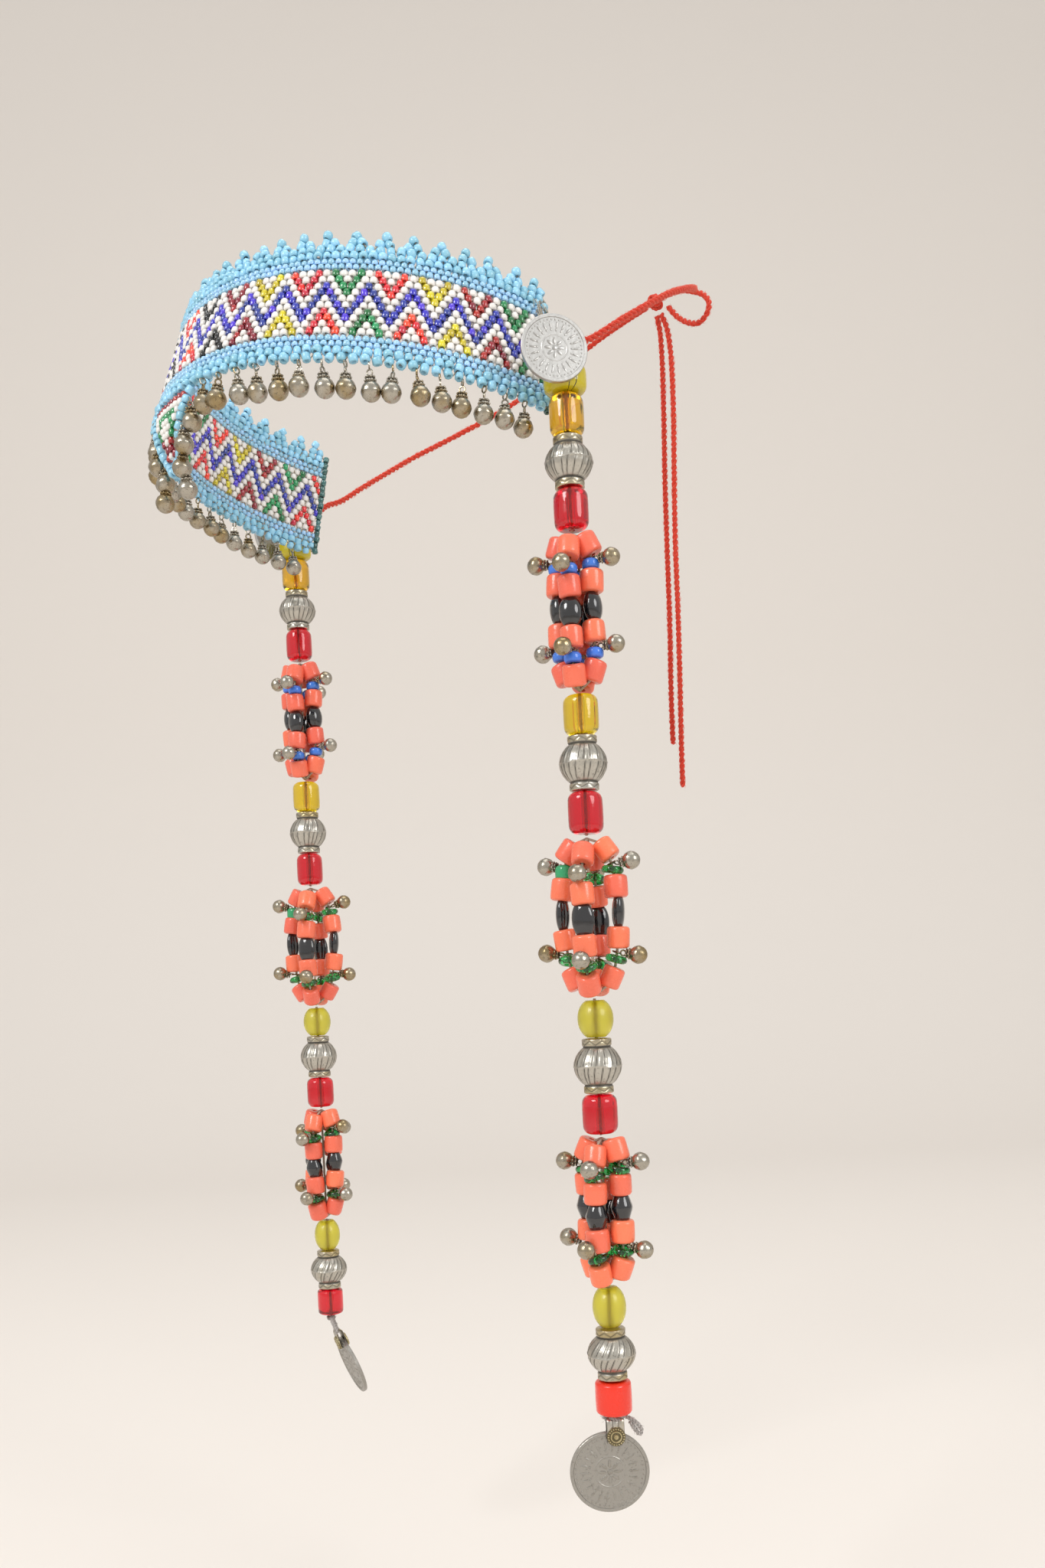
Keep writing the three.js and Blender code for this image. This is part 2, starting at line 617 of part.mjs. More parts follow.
const tailEnd = KNOT[2] - TAIL_DROP;
const TAIL_LEFT = [
  [11, 115.4, 72.4], [12.4, 117, 66], [13.4, 117.4, 54], [13.2, 117.4, 34], [12.4, 117, 10],
  [11.4, 116.8, -16], [10.8, 117, -44], [9.8, 117.2, -72], [9.2, 117, -94], [9, 116.8, tailEnd],
];
const TAIL_RIGHT = [
  [8, 116, 73], [7.4, 118, 66], [7.2, 118.4, 52], [7, 118, 32], [6.4, 117.6, 8],
  [5.6, 117.8, -18], [4.8, 118, -48], [4, 117.8, -72], [3.6, 117.8, tailEnd + 18],
];
add("tail_left", cord(TAIL_LEFT, CORD_DIAMETER, 32), "wool");
add("tail_right", cord(TAIL_RIGHT, CORD_DIAMETER, 28), "wool");

export default root;
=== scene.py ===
import random
from math import ceil, cos, exp, hypot, pi, radians, sin

import bmesh
import bpy
from mathutils import Euler, Matrix, Vector


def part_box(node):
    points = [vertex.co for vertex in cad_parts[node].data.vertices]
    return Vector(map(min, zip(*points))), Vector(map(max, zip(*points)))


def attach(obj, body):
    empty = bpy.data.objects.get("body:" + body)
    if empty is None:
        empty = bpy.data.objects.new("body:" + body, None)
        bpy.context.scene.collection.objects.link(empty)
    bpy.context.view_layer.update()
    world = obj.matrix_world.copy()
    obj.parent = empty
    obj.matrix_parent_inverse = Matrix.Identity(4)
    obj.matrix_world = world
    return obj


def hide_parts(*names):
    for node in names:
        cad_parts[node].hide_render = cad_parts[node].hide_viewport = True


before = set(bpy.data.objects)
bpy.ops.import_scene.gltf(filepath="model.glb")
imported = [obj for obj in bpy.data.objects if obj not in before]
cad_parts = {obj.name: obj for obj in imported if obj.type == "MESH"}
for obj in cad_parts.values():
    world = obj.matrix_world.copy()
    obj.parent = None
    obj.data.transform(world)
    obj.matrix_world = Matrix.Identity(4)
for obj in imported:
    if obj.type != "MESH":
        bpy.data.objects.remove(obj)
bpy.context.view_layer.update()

chance = random.Random(11)
MM = 0.001  # shapes are drawn in millimetres and brought to metres at the end
TOUCH_GAP = 0.3  # air between two pieces that touch
SIDES = (("left", 1), ("right", -1))


# ---- camera ---------------------------------------------------------------------------------
CAMERA_PLACE = (0.3861, -0.2507, -0.1871)
CAMERA_YAW = radians(53.04)
CAMERA_ROLL = radians(-2.75)


def set_up_camera():
    lens = bpy.data.cameras.new("camera")
    lens.sensor_fit = "VERTICAL"
    lens.sensor_height = 36
    lens.lens = 30.38
    lens.shift_y = 0.1265
    lens.clip_start = 0.01
    ahead = Vector((-sin(CAMERA_YAW), cos(CAMERA_YAW), 0))
    level = Vector((cos(CAMERA_YAW), sin(CAMERA_YAW), 0))
    right = level * cos(CAMERA_ROLL) + Vector((0, 0, sin(CAMERA_ROLL)))
    turned = Matrix((right, right.cross(ahead), -ahead)).transposed().to_4x4()
    camera = bpy.data.objects.new("camera", lens)
    camera.matrix_world = Matrix.Translation(CAMERA_PLACE) @ turned
    bpy.context.scene.collection.objects.link(camera)
    bpy.context.scene.camera = camera


set_up_camera()


# ---- shader groups --------------------------------------------------------------------------
def new_group(name, inputs, outputs):
    tree = bpy.data.node_groups.new(name, "ShaderNodeTree")
    for label, kind, value in inputs:
        socket = tree.interface.new_socket(label, in_out="INPUT", socket_type=kind)
        socket.default_value = value
    for label, kind in outputs:
        tree.interface.new_socket(label, in_out="OUTPUT", socket_type=kind)
    return tree, tree.nodes.new("NodeGroupInput"), tree.nodes.new("NodeGroupOutput")


def node(tree, kind, settings=None, **inputs):
    """A shader node with its settings, its plain inputs and its linked inputs."""
    made = tree.nodes.new(f"ShaderNode{kind}")
    for key, value in (settings or {}).items():
        setattr(made, key, value)
    for key, value in inputs.items():
        label = key.replace("_", " ")
        socket = made.inputs[int(key[1:])] if key[1:].isdigit() else made.inputs[label]
        if isinstance(value, bpy.types.NodeSocket):
            tree.links.new(value, socket)
        else:
            socket.default_value = value
    return made


def maths(tree, operation, *values):
    """The result of a sum on plain values or linked ones."""
    inputs = {f"_{i}": value for i, value in enumerate(values)}
    return node(tree, "Math", {"operation": operation}, **inputs).outputs[0]


FLOAT, COLOUR, VECTOR = "NodeSocketFloat", "NodeSocketColor", "NodeSocketVector"
GREY = (0.5, 0.5, 0.5, 1)


def build_bead_tone():
    """Bead to bead change of colour, and the dust that dulls some beads."""
    tree, given, out = new_group(
        "bead_tone",
        [("Color", COLOUR, GREY), ("Spread", FLOAT, 0.2), ("Hue", FLOAT, 0.01), ("Gloss", FLOAT, 0.2),
         ("Ripple", FLOAT, 0.25)],
        [("Color", COLOUR), ("Roughness", FLOAT), ("Normal", VECTOR)],
    )
    shade = node(tree, "Attribute", {"attribute_name": "shade"}).outputs["Fac"]
    centred = maths(tree, "SUBTRACT", shade, 0.5)
    value = maths(tree, "MULTIPLY_ADD", centred, given.outputs["Spread"], 1.0)
    hue = maths(tree, "MULTIPLY_ADD", centred, given.outputs["Hue"], 0.5)
    place = node(tree, "TexCoord").outputs["Object"]
    grime = node(tree, "TexNoise", Vector=place, Scale=420.0, Detail=3.0).outputs["Fac"]
    tinted = node(tree, "HueSaturation", Hue=hue, Value=value, Color=given.outputs["Color"])
    dull = node(tree, "MapRange", Value=grime, _1=0.35, _2=0.75, _3=0.0, _4=0.16).outputs[0]
    rough = maths(tree, "ADD", given.outputs["Gloss"], dull)
    ripple = node(tree, "TexNoise", Vector=place, Scale=900.0, Detail=1.0).outputs["Fac"]
    bump = node(
        tree, "Bump", Strength=given.outputs["Ripple"], Distance=0.0003, Height=ripple
    ).outputs[0]
    tree.links.new(tinted.outputs[0], out.inputs["Color"])
    tree.links.new(rough, out.inputs["Roughness"])
    tree.links.new(bump, out.inputs["Normal"])
    return tree


def build_worn_metal():
    """Cast or stamped silver alloy: dark in the hollows, brassy where its coat has worn."""
    tree, given, out = new_group(
        "worn_metal",
        [
            ("Coat", COLOUR, GREY), ("Worn", COLOUR, GREY), ("Dark", COLOUR, GREY),
            ("Patches", FLOAT, 0.5), ("Patch Scale", FLOAT, 200.0), ("Gloss", FLOAT, 0.3),
            ("Dents", FLOAT, 0.3), ("Specks", FLOAT, 0.5),
        ],
        [("Color", COLOUR), ("Roughness", FLOAT), ("Normal", VECTOR)],
    )
    place = node(tree, "TexCoord").outputs["Object"]
    shade = node(tree, "Attribute", {"attribute_name": "shade"}).outputs["Fac"]
    hollow = node(tree, "Attribute", {"attribute_name": "hollow"}).outputs["Fac"]
    patch = node(
        tree, "TexNoise", Vector=place, Scale=given.outputs["Patch Scale"], Detail=4.0
    ).outputs["Fac"]
    moved = maths(tree, "ADD", patch, given.outputs["Patches"])
    shaded = maths(tree, "MULTIPLY_ADD", shade, 0.34, moved)
    worn = node(tree, "MapRange", Value=shaded, _1=1.0, _2=1.3).outputs[0]
    mixed = node(
        tree, "Mix", {"data_type": "RGBA"}, _0=worn, _6=given.outputs["Coat"], _7=given.outputs["Worn"]
    ).outputs[2]
    soil = node(tree, "TexNoise", Vector=place, Scale=1400.0, Detail=5.0).outputs["Fac"]
    specks = node(
        tree, "MapRange", Value=soil, _1=0.56, _2=0.72, _3=0.0, _4=given.outputs["Specks"]
    ).outputs[0]
    dirt = maths(tree, "MAXIMUM", specks, hollow)
    coloured = node(tree, "Mix", {"data_type": "RGBA"}, _0=dirt, _6=mixed, _7=given.outputs["Dark"])
    rough = maths(tree, "MULTIPLY_ADD", dirt, 0.3, given.outputs["Gloss"])
    dents = node(tree, "TexNoise", Vector=place, Scale=650.0, Detail=3.0).outputs["Fac"]
    bump = node(
        tree, "Bump", Strength=given.outputs["Dents"], Distance=0.0005, Height=dents
    ).outputs[0]
    tree.links.new(coloured.outputs[2], out.inputs["Color"])
    tree.links.new(rough, out.inputs["Roughness"])
    tree.links.new(bump, out.inputs["Normal"])
    return tree


def build_fibre():
    """Spun fibre: fine uneven strands and lighter loose hairs."""
    tree, given, out = new_group(
        "fibre",
        [("Color", COLOUR, GREY), ("Pale", COLOUR, GREY), ("Scale", FLOAT, 1500.0)],
        [("Color", COLOUR), ("Normal", VECTOR)],
    )
    place = node(tree, "TexCoord").outputs["Object"]
    shade = node(tree, "Attribute", {"attribute_name": "shade"}).outputs["Fac"]
    hairs = node(
        tree, "TexNoise", Vector=place, Scale=given.outputs["Scale"], Detail=6.0, Roughness=0.7
    ).outputs["Fac"]
    both = maths(tree, "MULTIPLY_ADD", shade, 0.5, hairs)
    pale = node(tree, "MapRange", Value=both, _1=0.5, _2=1.15).outputs[0]
    mixed = node(
        tree, "Mix", {"data_type": "RGBA"}, _0=pale, _6=given.outputs["Color"], _7=given.outputs["Pale"]
    ).outputs[2]
    bump = node(tree, "Bump", Strength=0.7, Distance=0.0004, Height=hairs).outputs[0]
    tree.links.new(mixed, out.inputs["Color"])
    tree.links.new(bump, out.inputs["Normal"])
    return tree


BEAD_TONE = build_bead_tone()
WORN_METAL = build_worn_metal()
FIBRE = build_fibre()


# ---- materials ------------------------------------------------------------------------------
def material(name, group, inputs, **plain):
    made = bpy.data.materials.new(name)
    made.use_nodes = True
    tree = made.node_tree
    surface = tree.nodes["Principled BSDF"]
    for key, value in plain.items():
        surface.inputs[key.replace("_", " ")].default_value = value
    effect = tree.nodes.new("ShaderNodeGroup")
    effect.node_tree = group
    for key, value in inputs.items():
        effect.inputs[key].default_value = value
    for label, target in (("Color", "Base Color"), ("Roughness", "Roughness"), ("Normal", "Normal")):
        if label in effect.outputs:
            tree.links.new(effect.outputs[label], surface.inputs[target])
    return made


def glazed(name, colour, spread=0.2, hue=0.01, gloss=0.16, ripple=0.25, **plain):
    """Opaque or deep-coloured glass."""
    inputs = {"Color": (*colour, 1), "Spread": spread, "Hue": hue, "Gloss": gloss, "Ripple": ripple}
    return material(name, BEAD_TONE, inputs, **{"Coat_Weight": 0.3, "Coat_Roughness": 0.08, **plain})


def clear(name, colour, gloss=0.04, **plain):
    """Glass that shows what is inside and behind it."""
    return glazed(name, colour, 0.12, 0.005, gloss, 0.06, Transmission_Weight=1.0, IOR=1.5, **plain)


def metal(name, coat, worn, dark, patches, scale, gloss, dents, specks=0.5, **plain):
    inputs = {
        "Coat": (*coat, 1), "Worn": (*worn, 1), "Dark": (*dark, 1), "Patches": patches,
        "Patch Scale": scale, "Gloss": gloss, "Dents": dents, "Specks": specks,
    }
    return material(name, WORN_METAL, inputs, **{"Metallic": 1.0, **plain})


def spun_fibre(name, colour, pale, scale, **plain):
    inputs = {"Color": (*colour, 1), "Pale": (*pale, 1), "Scale": scale}
    return material(name, FIBRE, inputs, **{"Roughness": 0.95, "Specular_IOR_Level": 0.1, **plain})


SEEDS = {
    "white": glazed("white_seed_glass", (0.83, 0.81, 0.78), 0.12, 0.0, 0.24),
    "cobalt": glazed("cobalt_seed_glass", (0.026, 0.03, 0.48), 0.9, 0.03, 0.06, Coat_Weight=1.0),
    "red": glazed("red_seed_glass", (0.78, 0.016, 0.02), 0.7, 0.02, 0.06, Coat_Weight=1.0),
    "wine": glazed("wine_seed_glass", (0.34, 0.008, 0.018), 0.8, 0.02, 0.06, Coat_Weight=1.0),
    "green": glazed("green_seed_glass", (0.010, 0.24, 0.07), 0.9, 0.02, 0.06, Coat_Weight=1.0),
    "yellow": glazed("yellow_seed_glass", (0.60, 0.50, 0.012), 0.5, 0.02, 0.06, Coat_Weight=1.0),
    "black": glazed("black_seed_glass", (0.006, 0.006, 0.007), 0.3, 0.0, 0.08, Coat_Weight=0.8),
    "sky": glazed("sky_seed_glass", (0.30, 0.62, 0.81), 0.3, 0.015, 0.16),
    "lustre": glazed("lustre_seed_glass", (0.32, 0.60, 0.84), 0.35, 0.03, 0.08, Coat_Weight=1.0),
    "teal": glazed("teal_seed_glass", (0.035, 0.13, 0.12), 0.7, 0.03, 0.06, Coat_Weight=1.0),
}
CORAL = glazed("coral_glass", (0.87, 0.165, 0.085), 0.14, 0.01, 0.22)
BLUE = glazed("blue_glass", (0.05, 0.19, 0.68), 0.3, 0.01, 0.12)
JADE = glazed("jade_glass", (0.03, 0.36, 0.15), 0.3, 0.02, 0.15)
JET = glazed("jet_glass", (0.006, 0.006, 0.008), 0.5, 0.0, 0.05, Coat_Weight=1.0)
TOMATO = glazed("tomato_glass", (0.86, 0.052, 0.006), 0.12, 0.01, 0.18)
BOTTLE_GREEN = clear("bottle_green_glass", (0.03, 0.42, 0.10), 0.08)
AMBER = clear("amber_glass", (0.95, 0.54, 0.012))
LEMON = clear("lemon_glass", (0.97, 0.70, 0.015))
RUBY = clear("ruby_glass", (0.86, 0.006, 0.010))
LIME = clear("frosted_lime_glass", (0.86, 0.80, 0.06), 0.32)
BELL_METAL = metal(
    "bell_metal", (0.42, 0.39, 0.33), (0.33, 0.25, 0.13), (0.09, 0.075, 0.055), 0.42, 160.0, 0.27, 0.35
)
COIN_METAL = metal(
    "coin_metal", (0.47, 0.465, 0.45), (0.40, 0.385, 0.36), (0.2, 0.19, 0.175), 0.4, 90.0, 0.36, 0.12,
    0.25, Metallic=0.85,
)
DULL_COIN_METAL = metal(
    "dull_coin_metal", (0.36, 0.345, 0.315), (0.29, 0.27, 0.23), (0.12, 0.11, 0.095), 0.42, 70.0,
    0.36, 0.3, 0.35, Metallic=0.9,
)
MELON_METAL = metal(
    "melon_metal", (0.50, 0.475, 0.42), (0.47, 0.385, 0.21), (0.055, 0.05, 0.042), 0.36, 80.0, 0.3, 0.2
)
BRASSY = metal(
    "brassy_metal", (0.50, 0.44, 0.27), (0.42, 0.34, 0.17), (0.07, 0.06, 0.045), 0.4, 120.0, 0.34, 0.3
)
COTTON = spun_fibre("cotton_thread", (0.52, 0.45, 0.35), (0.80, 0.76, 0.68), 2200.0)
GREY_THREAD = spun_fibre("grey_thread", (0.40, 0.37, 0.35), (0.85, 0.82, 0.79), 1500.0)
WOOL = spun_fibre(
    "red_wool", (0.60, 0.04, 0.022), (0.92, 0.20, 0.12), 1300.0,
    Sheen_Weight=0.6, Sheen_Roughness=0.5, Sheen_Tint=(1.0, 0.45, 0.38, 1.0),
)


# ---- small tools ----------------------------------------------------------------------------
def spun(profile, sides, closed=False):
    """A shape turned about Z from (radius, height) points."""
    shape = bmesh.new()
    points = [shape.verts.new((radius, 0, height)) for radius, height in profile]
    lines = [shape.edges.new(pair) for pair in zip(points, points[1:])]
    if closed:
        lines.append(shape.edges.new((points[-1], points[0])))
    bmesh.ops.spin(
        shape, geom=points + lines, cent=(0, 0, 0), axis=(0, 0, 1), angle=2 * pi, steps=sides,
        use_merge=True,
    )
    bmesh.ops.remove_doubles(shape, verts=shape.verts, dist=1e-4)
    bmesh.ops.recalc_face_normals(shape, faces=shape.faces)
    return shape


def pattern(name, shape, hollow=None):
    """Keeps a shape as a mesh that copies are made from. hollow gives the dirt at a point."""
    kept = bpy.data.meshes.new(name)
    shape.to_mesh(kept)
    shape.free()
    kept.attributes.new("shade", "FLOAT", "POINT")
    dirt = kept.attributes.new("hollow", "FLOAT", "POINT")
    if hollow:
        dirt.data.foreach_set("value", [hollow(vert.co) for vert in kept.vertices])
    return kept


def copy_in(whole, kept, place, shade=0.5):
    """Adds a copy of a kept shape to a piece in the making."""
    made = kept.copy()
    made.attributes["shade"].data.foreach_set("value", [shade] * len(made.vertices))
    made.transform(place)
    whole.from_mesh(made)
    bpy.data.meshes.remove(made)


def finish_piece(name, whole, look, body, slot, *nodes, sharp=None):
    """Turns a shape in millimetres into a piece that rides on a body."""
    mesh = whole
    if isinstance(whole, bmesh.types.BMesh):
        mesh = bpy.data.meshes.new(name)
        whole.to_mesh(mesh)
        whole.free()
    mesh.transform(Matrix.Scale(MM, 4))
    mesh.shade_smooth()
    if sharp:
        mesh.set_sharp_from_angle(angle=radians(sharp))
    mesh.materials.clear()
    mesh.materials.append(look)
    piece = bpy.data.objects.new(name, mesh)
    bpy.context.scene.collection.objects.link(piece)
    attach(piece, body)
    if nodes:
        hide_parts(*nodes)
    return piece


def strands(name, lines, radius, sides=4):
    """Round threads along lines of points, as one mesh in millimetres."""
    curve = bpy.data.curves.new(name, "CURVE")
    curve.dimensions = "3D"
    curve.bevel_depth = radius
    curve.bevel_resolution = sides // 2 - 2
    curve.use_fill_caps = True
    for line in lines:
        spline = curve.splines.new("POLY")
        spline.points.add(len(line) - 1)
        for point, spot in zip(spline.points, line):
            point.co = (*spot, 1)
    holder = bpy.data.objects.new(name, curve)
    mesh = bpy.data.meshes.new_from_object(holder)
    bpy.data.objects.remove(holder)
    bpy.data.curves.remove(curve)
    mesh.attributes.new("shade", "FLOAT", "POINT")
    mesh.attributes.new("hollow", "FLOAT", "POINT")
    return mesh


def smooth_line(points, step):
    """Points about a step apart on a smooth curve through the given ones."""
    spots = [Vector(point) for point in points]
    ends = [2 * spots[0] - spots[1], *spots, 2 * spots[-1] - spots[-2]]
    line = []
    for before, here, there, after in zip(ends, ends[1:], ends[2:], ends[3:]):
        count = max(1, ceil((there - here).length / step))
        for i in range(count):
            t = i / count
            line.append(
                0.5 * (2 * here + (there - before) * t
                       + (2 * before - 5 * here + 4 * there - after) * t * t
                       + (3 * here - before - 3 * there + after) * t ** 3)
            )
    return [*line, spots[-1]]


def length_of(line):
    return sum((there - here).length for here, there in zip(line, line[1:]))


def axes_along(line):
    """A pair of square-on directions at each point of a line, carried along without twist."""
    side = (line[1] - line[0]).orthogonal().normalized()
    pairs = []
    for i in range(len(line)):
        ahead = (line[min(i + 1, len(line) - 1)] - line[max(i - 1, 0)]).normalized()
        side = (side - ahead * side.dot(ahead)).normalized()
        pairs.append((side.copy(), ahead.cross(side)))
    return pairs


def plies(line, off, pitch, count, phase=0.0):
    """The lines of a cord's twisted plies."""
    axes = axes_along(line)
    made = []
    for ply in range(count):
        gone = 0.0
        path = []
        for i, point in enumerate(line):
            if i:
                gone += (point - line[i - 1]).length
            turn = 2 * pi * (gone / pitch + ply / count) + phase
            path.append(point + (axes[i][0] * cos(turn) + axes[i][1] * sin(turn)) * off)
        made.append(path)
    return made


def jittered(amount):
    return Euler([chance.uniform(-amount, amount) for _ in range(3)]).to_matrix().to_4x4()


def sized(x, y, z):
    return Matrix.Diagonal((x, y, z, 1))


def aimed(place, ahead, roll=0.0):
    """Puts a shape's Z axis along a direction at a place."""
    turned = Vector((0, 0, 1)).rotation_difference(Vector(ahead)).to_matrix().to_4x4()
    return Matrix.Translation(place) @ turned @ Matrix.Rotation(roll, 4, "Z")


# ---- wool cords -----------------------------------------------------------------------------
CORD = 2.3  # diameter
PLY_TWIST = 4.5  # length of one full turn
TIE = [
    (75.9, 7.9, 3.4), (77.4, 12, 6.6), (79, 20, 10.7), (79.8, 30, 17.9), (79, 42, 26.1),
    (76.5, 54, 34.1), (72, 66, 41.2), (66, 76, 47.1), (58.5, 85.5, 52.9), (50, 94, 59.1),
    (40.5, 101, 65.5),
]
TIE_LEFT = [*TIE, (30, 107, 71.1), (20, 111, 75.4), (14.4, 112.9, 77)]
TIE_RIGHT = [
    *((-x, y, z) for x, y, z in TIE), (-30, 106.8, 70.8), (-18, 111, 75), (-6, 113, 76.8),
    (5.6, 113.4, 77),
]
KNOT = Vector((10, 113.5, 77))
BOW_LOOP = [
    (13.6, 115.4, 79), (18, 118, 79.6), (23.5, 119.8, 77.2), (29, 120.8, 73.6), (31.6, 121, 69.4),
    (30.6, 120.4, 65.4), (27, 119.6, 63.4), (22, 118.6, 65.4), (17.6, 117.2, 69.4), (14.7, 115.8, 74),
]
TAIL_END = -113
TAIL_LEFT = [
    (11, 115.4, 72.4), (12.4, 117, 66), (13.4, 117.4, 54), (13.2, 117.4, 34), (12.4, 117, 10),
    (11.4, 116.8, -16), (10.8, 117, -44), (9.8, 117.2, -72), (9.2, 117, -94), (9, 116.8, TAIL_END),
]
TAIL_RIGHT = [
    (8, 116, 73), (7.4, 118, 66), (7.2, 118.4, 52), (7, 118, 32), (6.4, 117.6, 8),
    (5.6, 117.8, -18), (4.8, 118, -48), (4, 117.8, -72), (3.6, 117.8, TAIL_END + 18),
]


def hairs_round(line, per_mm, reach, off=CORD * 0.36):
    """Loose hairs that stand off a cord."""
    axes = axes_along(line)
    made = []
    for _ in range(int(length_of(line) * per_mm)):
        i = chance.randrange(1, len(line) - 1)
        turn = chance.uniform(0, 2 * pi)
        out = axes[i][0] * cos(turn) + axes[i][1] * sin(turn)
        ahead = (line[i + 1] - line[i - 1]).normalized() * chance.choice((-1, 1))
        side = out.cross(ahead)
        foot = line[i] + out * off
        bend = chance.uniform(0.3, 1.0) * reach
        made.append([
            foot,
            foot + out * bend * 0.45 + ahead * bend * 0.9 + side * chance.uniform(-0.3, 0.3) * bend,
            foot + out * bend * 0.6 + ahead * bend * 1.7 + side * chance.uniform(-0.8, 0.8) * bend,
        ])
    return made


def wool_cord(name, points):
    line = smooth_line(points, 0.9)
    whole = bmesh.new()
    body = strands(name, plies(line, CORD * 0.24, PLY_TWIST, 2), CORD * 0.27, 8)
    whole.from_mesh(body)
    fluff = strands(name, hairs_round(line, 7, 1.0), 0.035)
    fluff.attributes["shade"].data.foreach_set("value", [0.8] * len(fluff.vertices))
    whole.from_mesh(fluff)
    cord = finish_piece(name, whole, WOOL, "band", "red_wool", name.replace("_wool", ""))
    return cord


wool_cord("tie_left_wool", TIE_LEFT)
wool_cord("tie_right_wool", TIE_RIGHT)
wool_cord("bow_loop_wool", BOW_LOOP)
wool_cord("tail_left_wool", TAIL_LEFT)
wool_cord("tail_right_wool", TAIL_RIGHT)


def tie_knot():
    """Three crossed turns of the cord, drawn tight."""
    whole = bmesh.new()
    turns = []
    for turn, (tilt, size) in enumerate(((0.5, 2.5), (-0.7, 2.3), (1.4, 2.0))):
        tipped = Euler((tilt, 0.6 * turn, 0.9 * turn)).to_matrix()
        ring = [
            KNOT + tipped @ Vector((cos(a) * size, sin(a) * size * 0.8, sin(2 * a) * 0.9))
            for a in (2 * pi * i / 20 for i in range(21))
        ]
        turns += plies(smooth_line(ring, 0.6), CORD * 0.24, PLY_TWIST, 2)
    whole.from_mesh(strands("turns", turns, CORD * 0.27, 8))
    finish_piece("tie_knot_wool", whole, WOOL, "band", "red_wool", "tie_knot")


tie_knot()


# ---- the band's surface ---------------------------------------------------------------------
HALF_WIDTH, REACH = 75.5, 85.0
END_ANGLE = radians(92.5)
LEAN_TEMPLE, LEAN_BROW = 7.0, 19.0
EDGE_TEMPLE, EDGE_BROW = -14.5, -2.2
COLUMN_SLANT = 0.0016  # radians back per millimetre up, as the columns stand square on the rows


def band_point(edge_angle, height, out=0.0):
    """Angle round from the brow, height up from the lower edge, distance out of the netting."""
    angle = edge_angle + COLUMN_SLANT * height * sin(edge_angle)
    lean = radians(LEAN_TEMPLE + (LEAN_BROW - LEAN_TEMPLE) * cos(angle) ** 2)
    edge = EDGE_TEMPLE + (EDGE_BROW - EDGE_TEMPLE) * cos(edge_angle)
    outward = Vector((sin(angle) / HALF_WIDTH, -cos(angle) / REACH)).normalized()
    reach = out * cos(lean) - height * sin(lean)
    return Vector((
        HALF_WIDTH * sin(angle) + outward.x * reach,
        -REACH * cos(angle) + outward.y * reach,
        edge + height * cos(lean) + out * sin(lean),
    ))


ARC_STEPS = 400
ARCS = [0.0]
for step in range(ARC_STEPS):
    ends = [band_point(END_ANGLE * (step + i) / ARC_STEPS, 0).xy for i in (0, 1)]
    ARCS.append(ARCS[-1] + (ends[1] - ends[0]).length)
HALF_ARC = ARCS[-1]


def angle_at(arc):
    """Angle round the band at a distance along its lower edge from the brow."""
    far = min(abs(arc), HALF_ARC)
    i = next(i for i in range(1, ARC_STEPS + 1) if ARCS[i] >= far)
    share = (far - ARCS[i - 1]) / (ARCS[i] - ARCS[i - 1])
    return (1 if arc >= 0 else -1) * (i - 1 + share) * END_ANGLE / ARC_STEPS


def netting_place(arc, height, out=0.0):
    """A place on the netting whose X runs round the head, Y inwards and Z up the band."""
    angle = angle_at(arc)
    middle = band_point(angle, height, out)
    up = (band_point(angle, height + 0.5, out) - band_point(angle, height - 0.5, out)).normalized()
    along = (band_point(angle + 0.01, height, out) - band_point(angle - 0.01, height, out))
    inward = up.cross(along).normalized()
    along = inward.cross(up)
    turned = Matrix((along, inward, up)).transposed().to_4x4()
    return Matrix.Translation(middle) @ turned


# ---- seed beads -----------------------------------------------------------------------------
# A seed bead is one across and one long, its hole along Z.
ROUND_SEED = pattern("round_seed", spun(
    [(0.19, -0.40), (0.37, -0.5), (0.5, -0.24), (0.5, 0.24), (0.37, 0.5), (0.19, 0.40)], 8, True
))
TUBE_SEED = pattern("tube_seed", spun(
    [(0.24, -0.45), (0.42, -0.5), (0.5, -0.36), (0.5, 0.36), (0.42, 0.5), (0.24, 0.45)], 8, True
))


def seed(whole, kept, place, across, long, tilt=0.14, vary=0.07):
    """One seed bead with its own small tilt, size and shade."""
    wide = across * (1 + chance.uniform(-vary, vary))
    tall = long * (1 + chance.uniform(-vary, vary))
    shift = Matrix.Translation([chance.uniform(-0.08, 0.08) for _ in range(3)])
    copy_in(whole, kept, place @ shift @ jittered(tilt) @ sized(wide, wide, tall), chance.random())


COLUMNS = 100
PERIOD = 5  # columns in one repeat of the zigzag
REPEATS = (
    "red", "black", "wine", "yellow", "red", "green", "red", "yellow", "wine", "green", "red",
)
COLUMN_PITCH = 2 * HALF_ARC / COLUMNS
PANEL_FROM, PANEL_ROWS, PANEL_ROW = 8.5, 10, 2.12


def panel_colour(row, column):
    """The pattern: a V above, a cobalt zigzag through the middle and a peak below."""
    repeat = round(column / PERIOD)
    off = column - PERIOD * repeat
    name = REPEATS[min(abs(repeat), len(REPEATS) - 1)]
    half = PERIOD / 2
    if row <= 3 and abs(abs(off) - (3 - row) / 2) < 0.1:
        return name
    if 2 <= row <= 7 and abs(abs(off) - (half - (row - 2) / 2)) < 0.1:
        return "cobalt"
    if row >= 6 and abs(abs(off) - (half - (row - 6) / 2)) < 0.1:
        below = repeat if off > 0 else repeat - 1
        return REPEATS[min(abs(below), len(REPEATS) - 1)]
    return "white"


